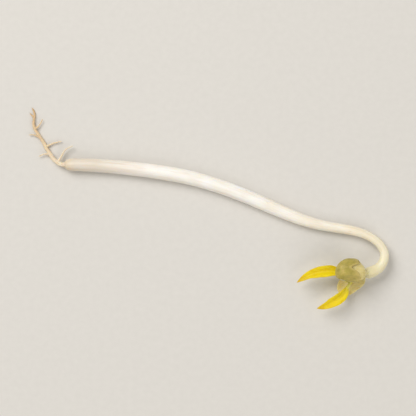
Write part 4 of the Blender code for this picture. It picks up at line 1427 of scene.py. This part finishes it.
# Clouded tissue, a millimetre and a half across.
tissue = add(tree, "ShaderNodeTexNoise", {"Vector": in_place, "Scale": 700, "Detail": 4})
tissue_stops = ((0.34, "#E6D070"), (0.52, "#FFFFFF"))
tissue_tone = add(tree, "ShaderNodeValToRGB", {"Fac": tissue}, stops=tissue_stops)
blade_tone = add(tree, "ShaderNodeMix", {SHARE: 0.4, UNDER: leaf_tone, OVER: tissue_tone}, **TINT)
vein_slant = add(tree, "ShaderNodeMath", {0: leaf_out, 1: -VEIN_SLANT}, operation="MULTIPLY")
vein_phase = add(
    tree,
    "ShaderNodeMath",
    {0: leaf_share, 1: VEIN_PAIRS, 2: vein_slant},
    operation="MULTIPLY_ADD",
)
# The veins stray from even steps by up to a quarter of one.
stray = add(tree, "ShaderNodeTexNoise", {"Vector": straight, "Scale": 3.0, "Detail": 1})
vein_shift = add(tree, "ShaderNodeMath", {0: stray, 1: 0.5, 2: vein_phase}, operation="MULTIPLY_ADD")
vein_saw = add(tree, "ShaderNodeMath", {0: vein_shift, 1: 0.5}, operation="PINGPONG")
vein_line = add(tree, "ShaderNodeMapRange", {"Value": vein_saw, "From Min": 0.10, "From Max": 0.0})
midrib_line = add(tree, "ShaderNodeMapRange", {"Value": leaf_out, "From Min": 0.12, "From Max": 0.03})
all_veins = add(tree, "ShaderNodeMath", {0: vein_line, 1: midrib_line}, operation="MAXIMUM")
vein_mix = add(tree, "ShaderNodeMath", {0: all_veins, 1: 0.12}, operation="MULTIPLY")
vein_colour = linear("#F7E874")
veined = add(tree, "ShaderNodeMix", {SHARE: vein_mix, UNDER: blade_tone, OVER: vein_colour}, **BLEND)
margin = add(
    tree, "ShaderNodeMapRange", {"Value": leaf_out, "From Min": 0.88, "From Max": 1.0, "To Max": 0.3}
)
edged = add(tree, "ShaderNodeMix", {SHARE: margin, UNDER: veined, OVER: linear("#DDBC18")}, **BLEND)
vein_bump = add(tree, "ShaderNodeBump", {"Height": all_veins, "Strength": 0.25, "Distance": 0.02 * MM})
tissue_bump = add(
    tree,
    "ShaderNodeBump",
    {"Height": tissue, "Strength": 0.4, "Distance": 0.04 * MM, "Normal": vein_bump},
)
close_finish(tree, shader, Base_Color=edged, Normal=tissue_bump)

# %% [markdown]
# ## Handing the pieces over
#
# Each finished piece rides on the sprout's one body and stands for the plain solid of the same part,
# which is hidden. The table also gives each piece the name of a finish, which nothing here reads.

# %% Ride and replace
PIECES = (
    (stem, "hypocotyl", "stem_white"),
    (root, "taproot", "root_tan"),
    (upper_half, "cotyledon_upper", "bean_cream"),
    (lower_half, "cotyledon_lower", "bean_cream"),
    (skin, "seed_coat", "skin_green"),
    (shoot, "epicotyl", "shoot_pale"),
    (long_leaf, "leaf_long", "leaf_yellow"),
    (short_leaf, "leaf_short", "leaf_yellow"),
)
for piece, node, slot in PIECES:
    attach(piece, "root")
    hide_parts(node)
    print(piece.name, "stands for", node)
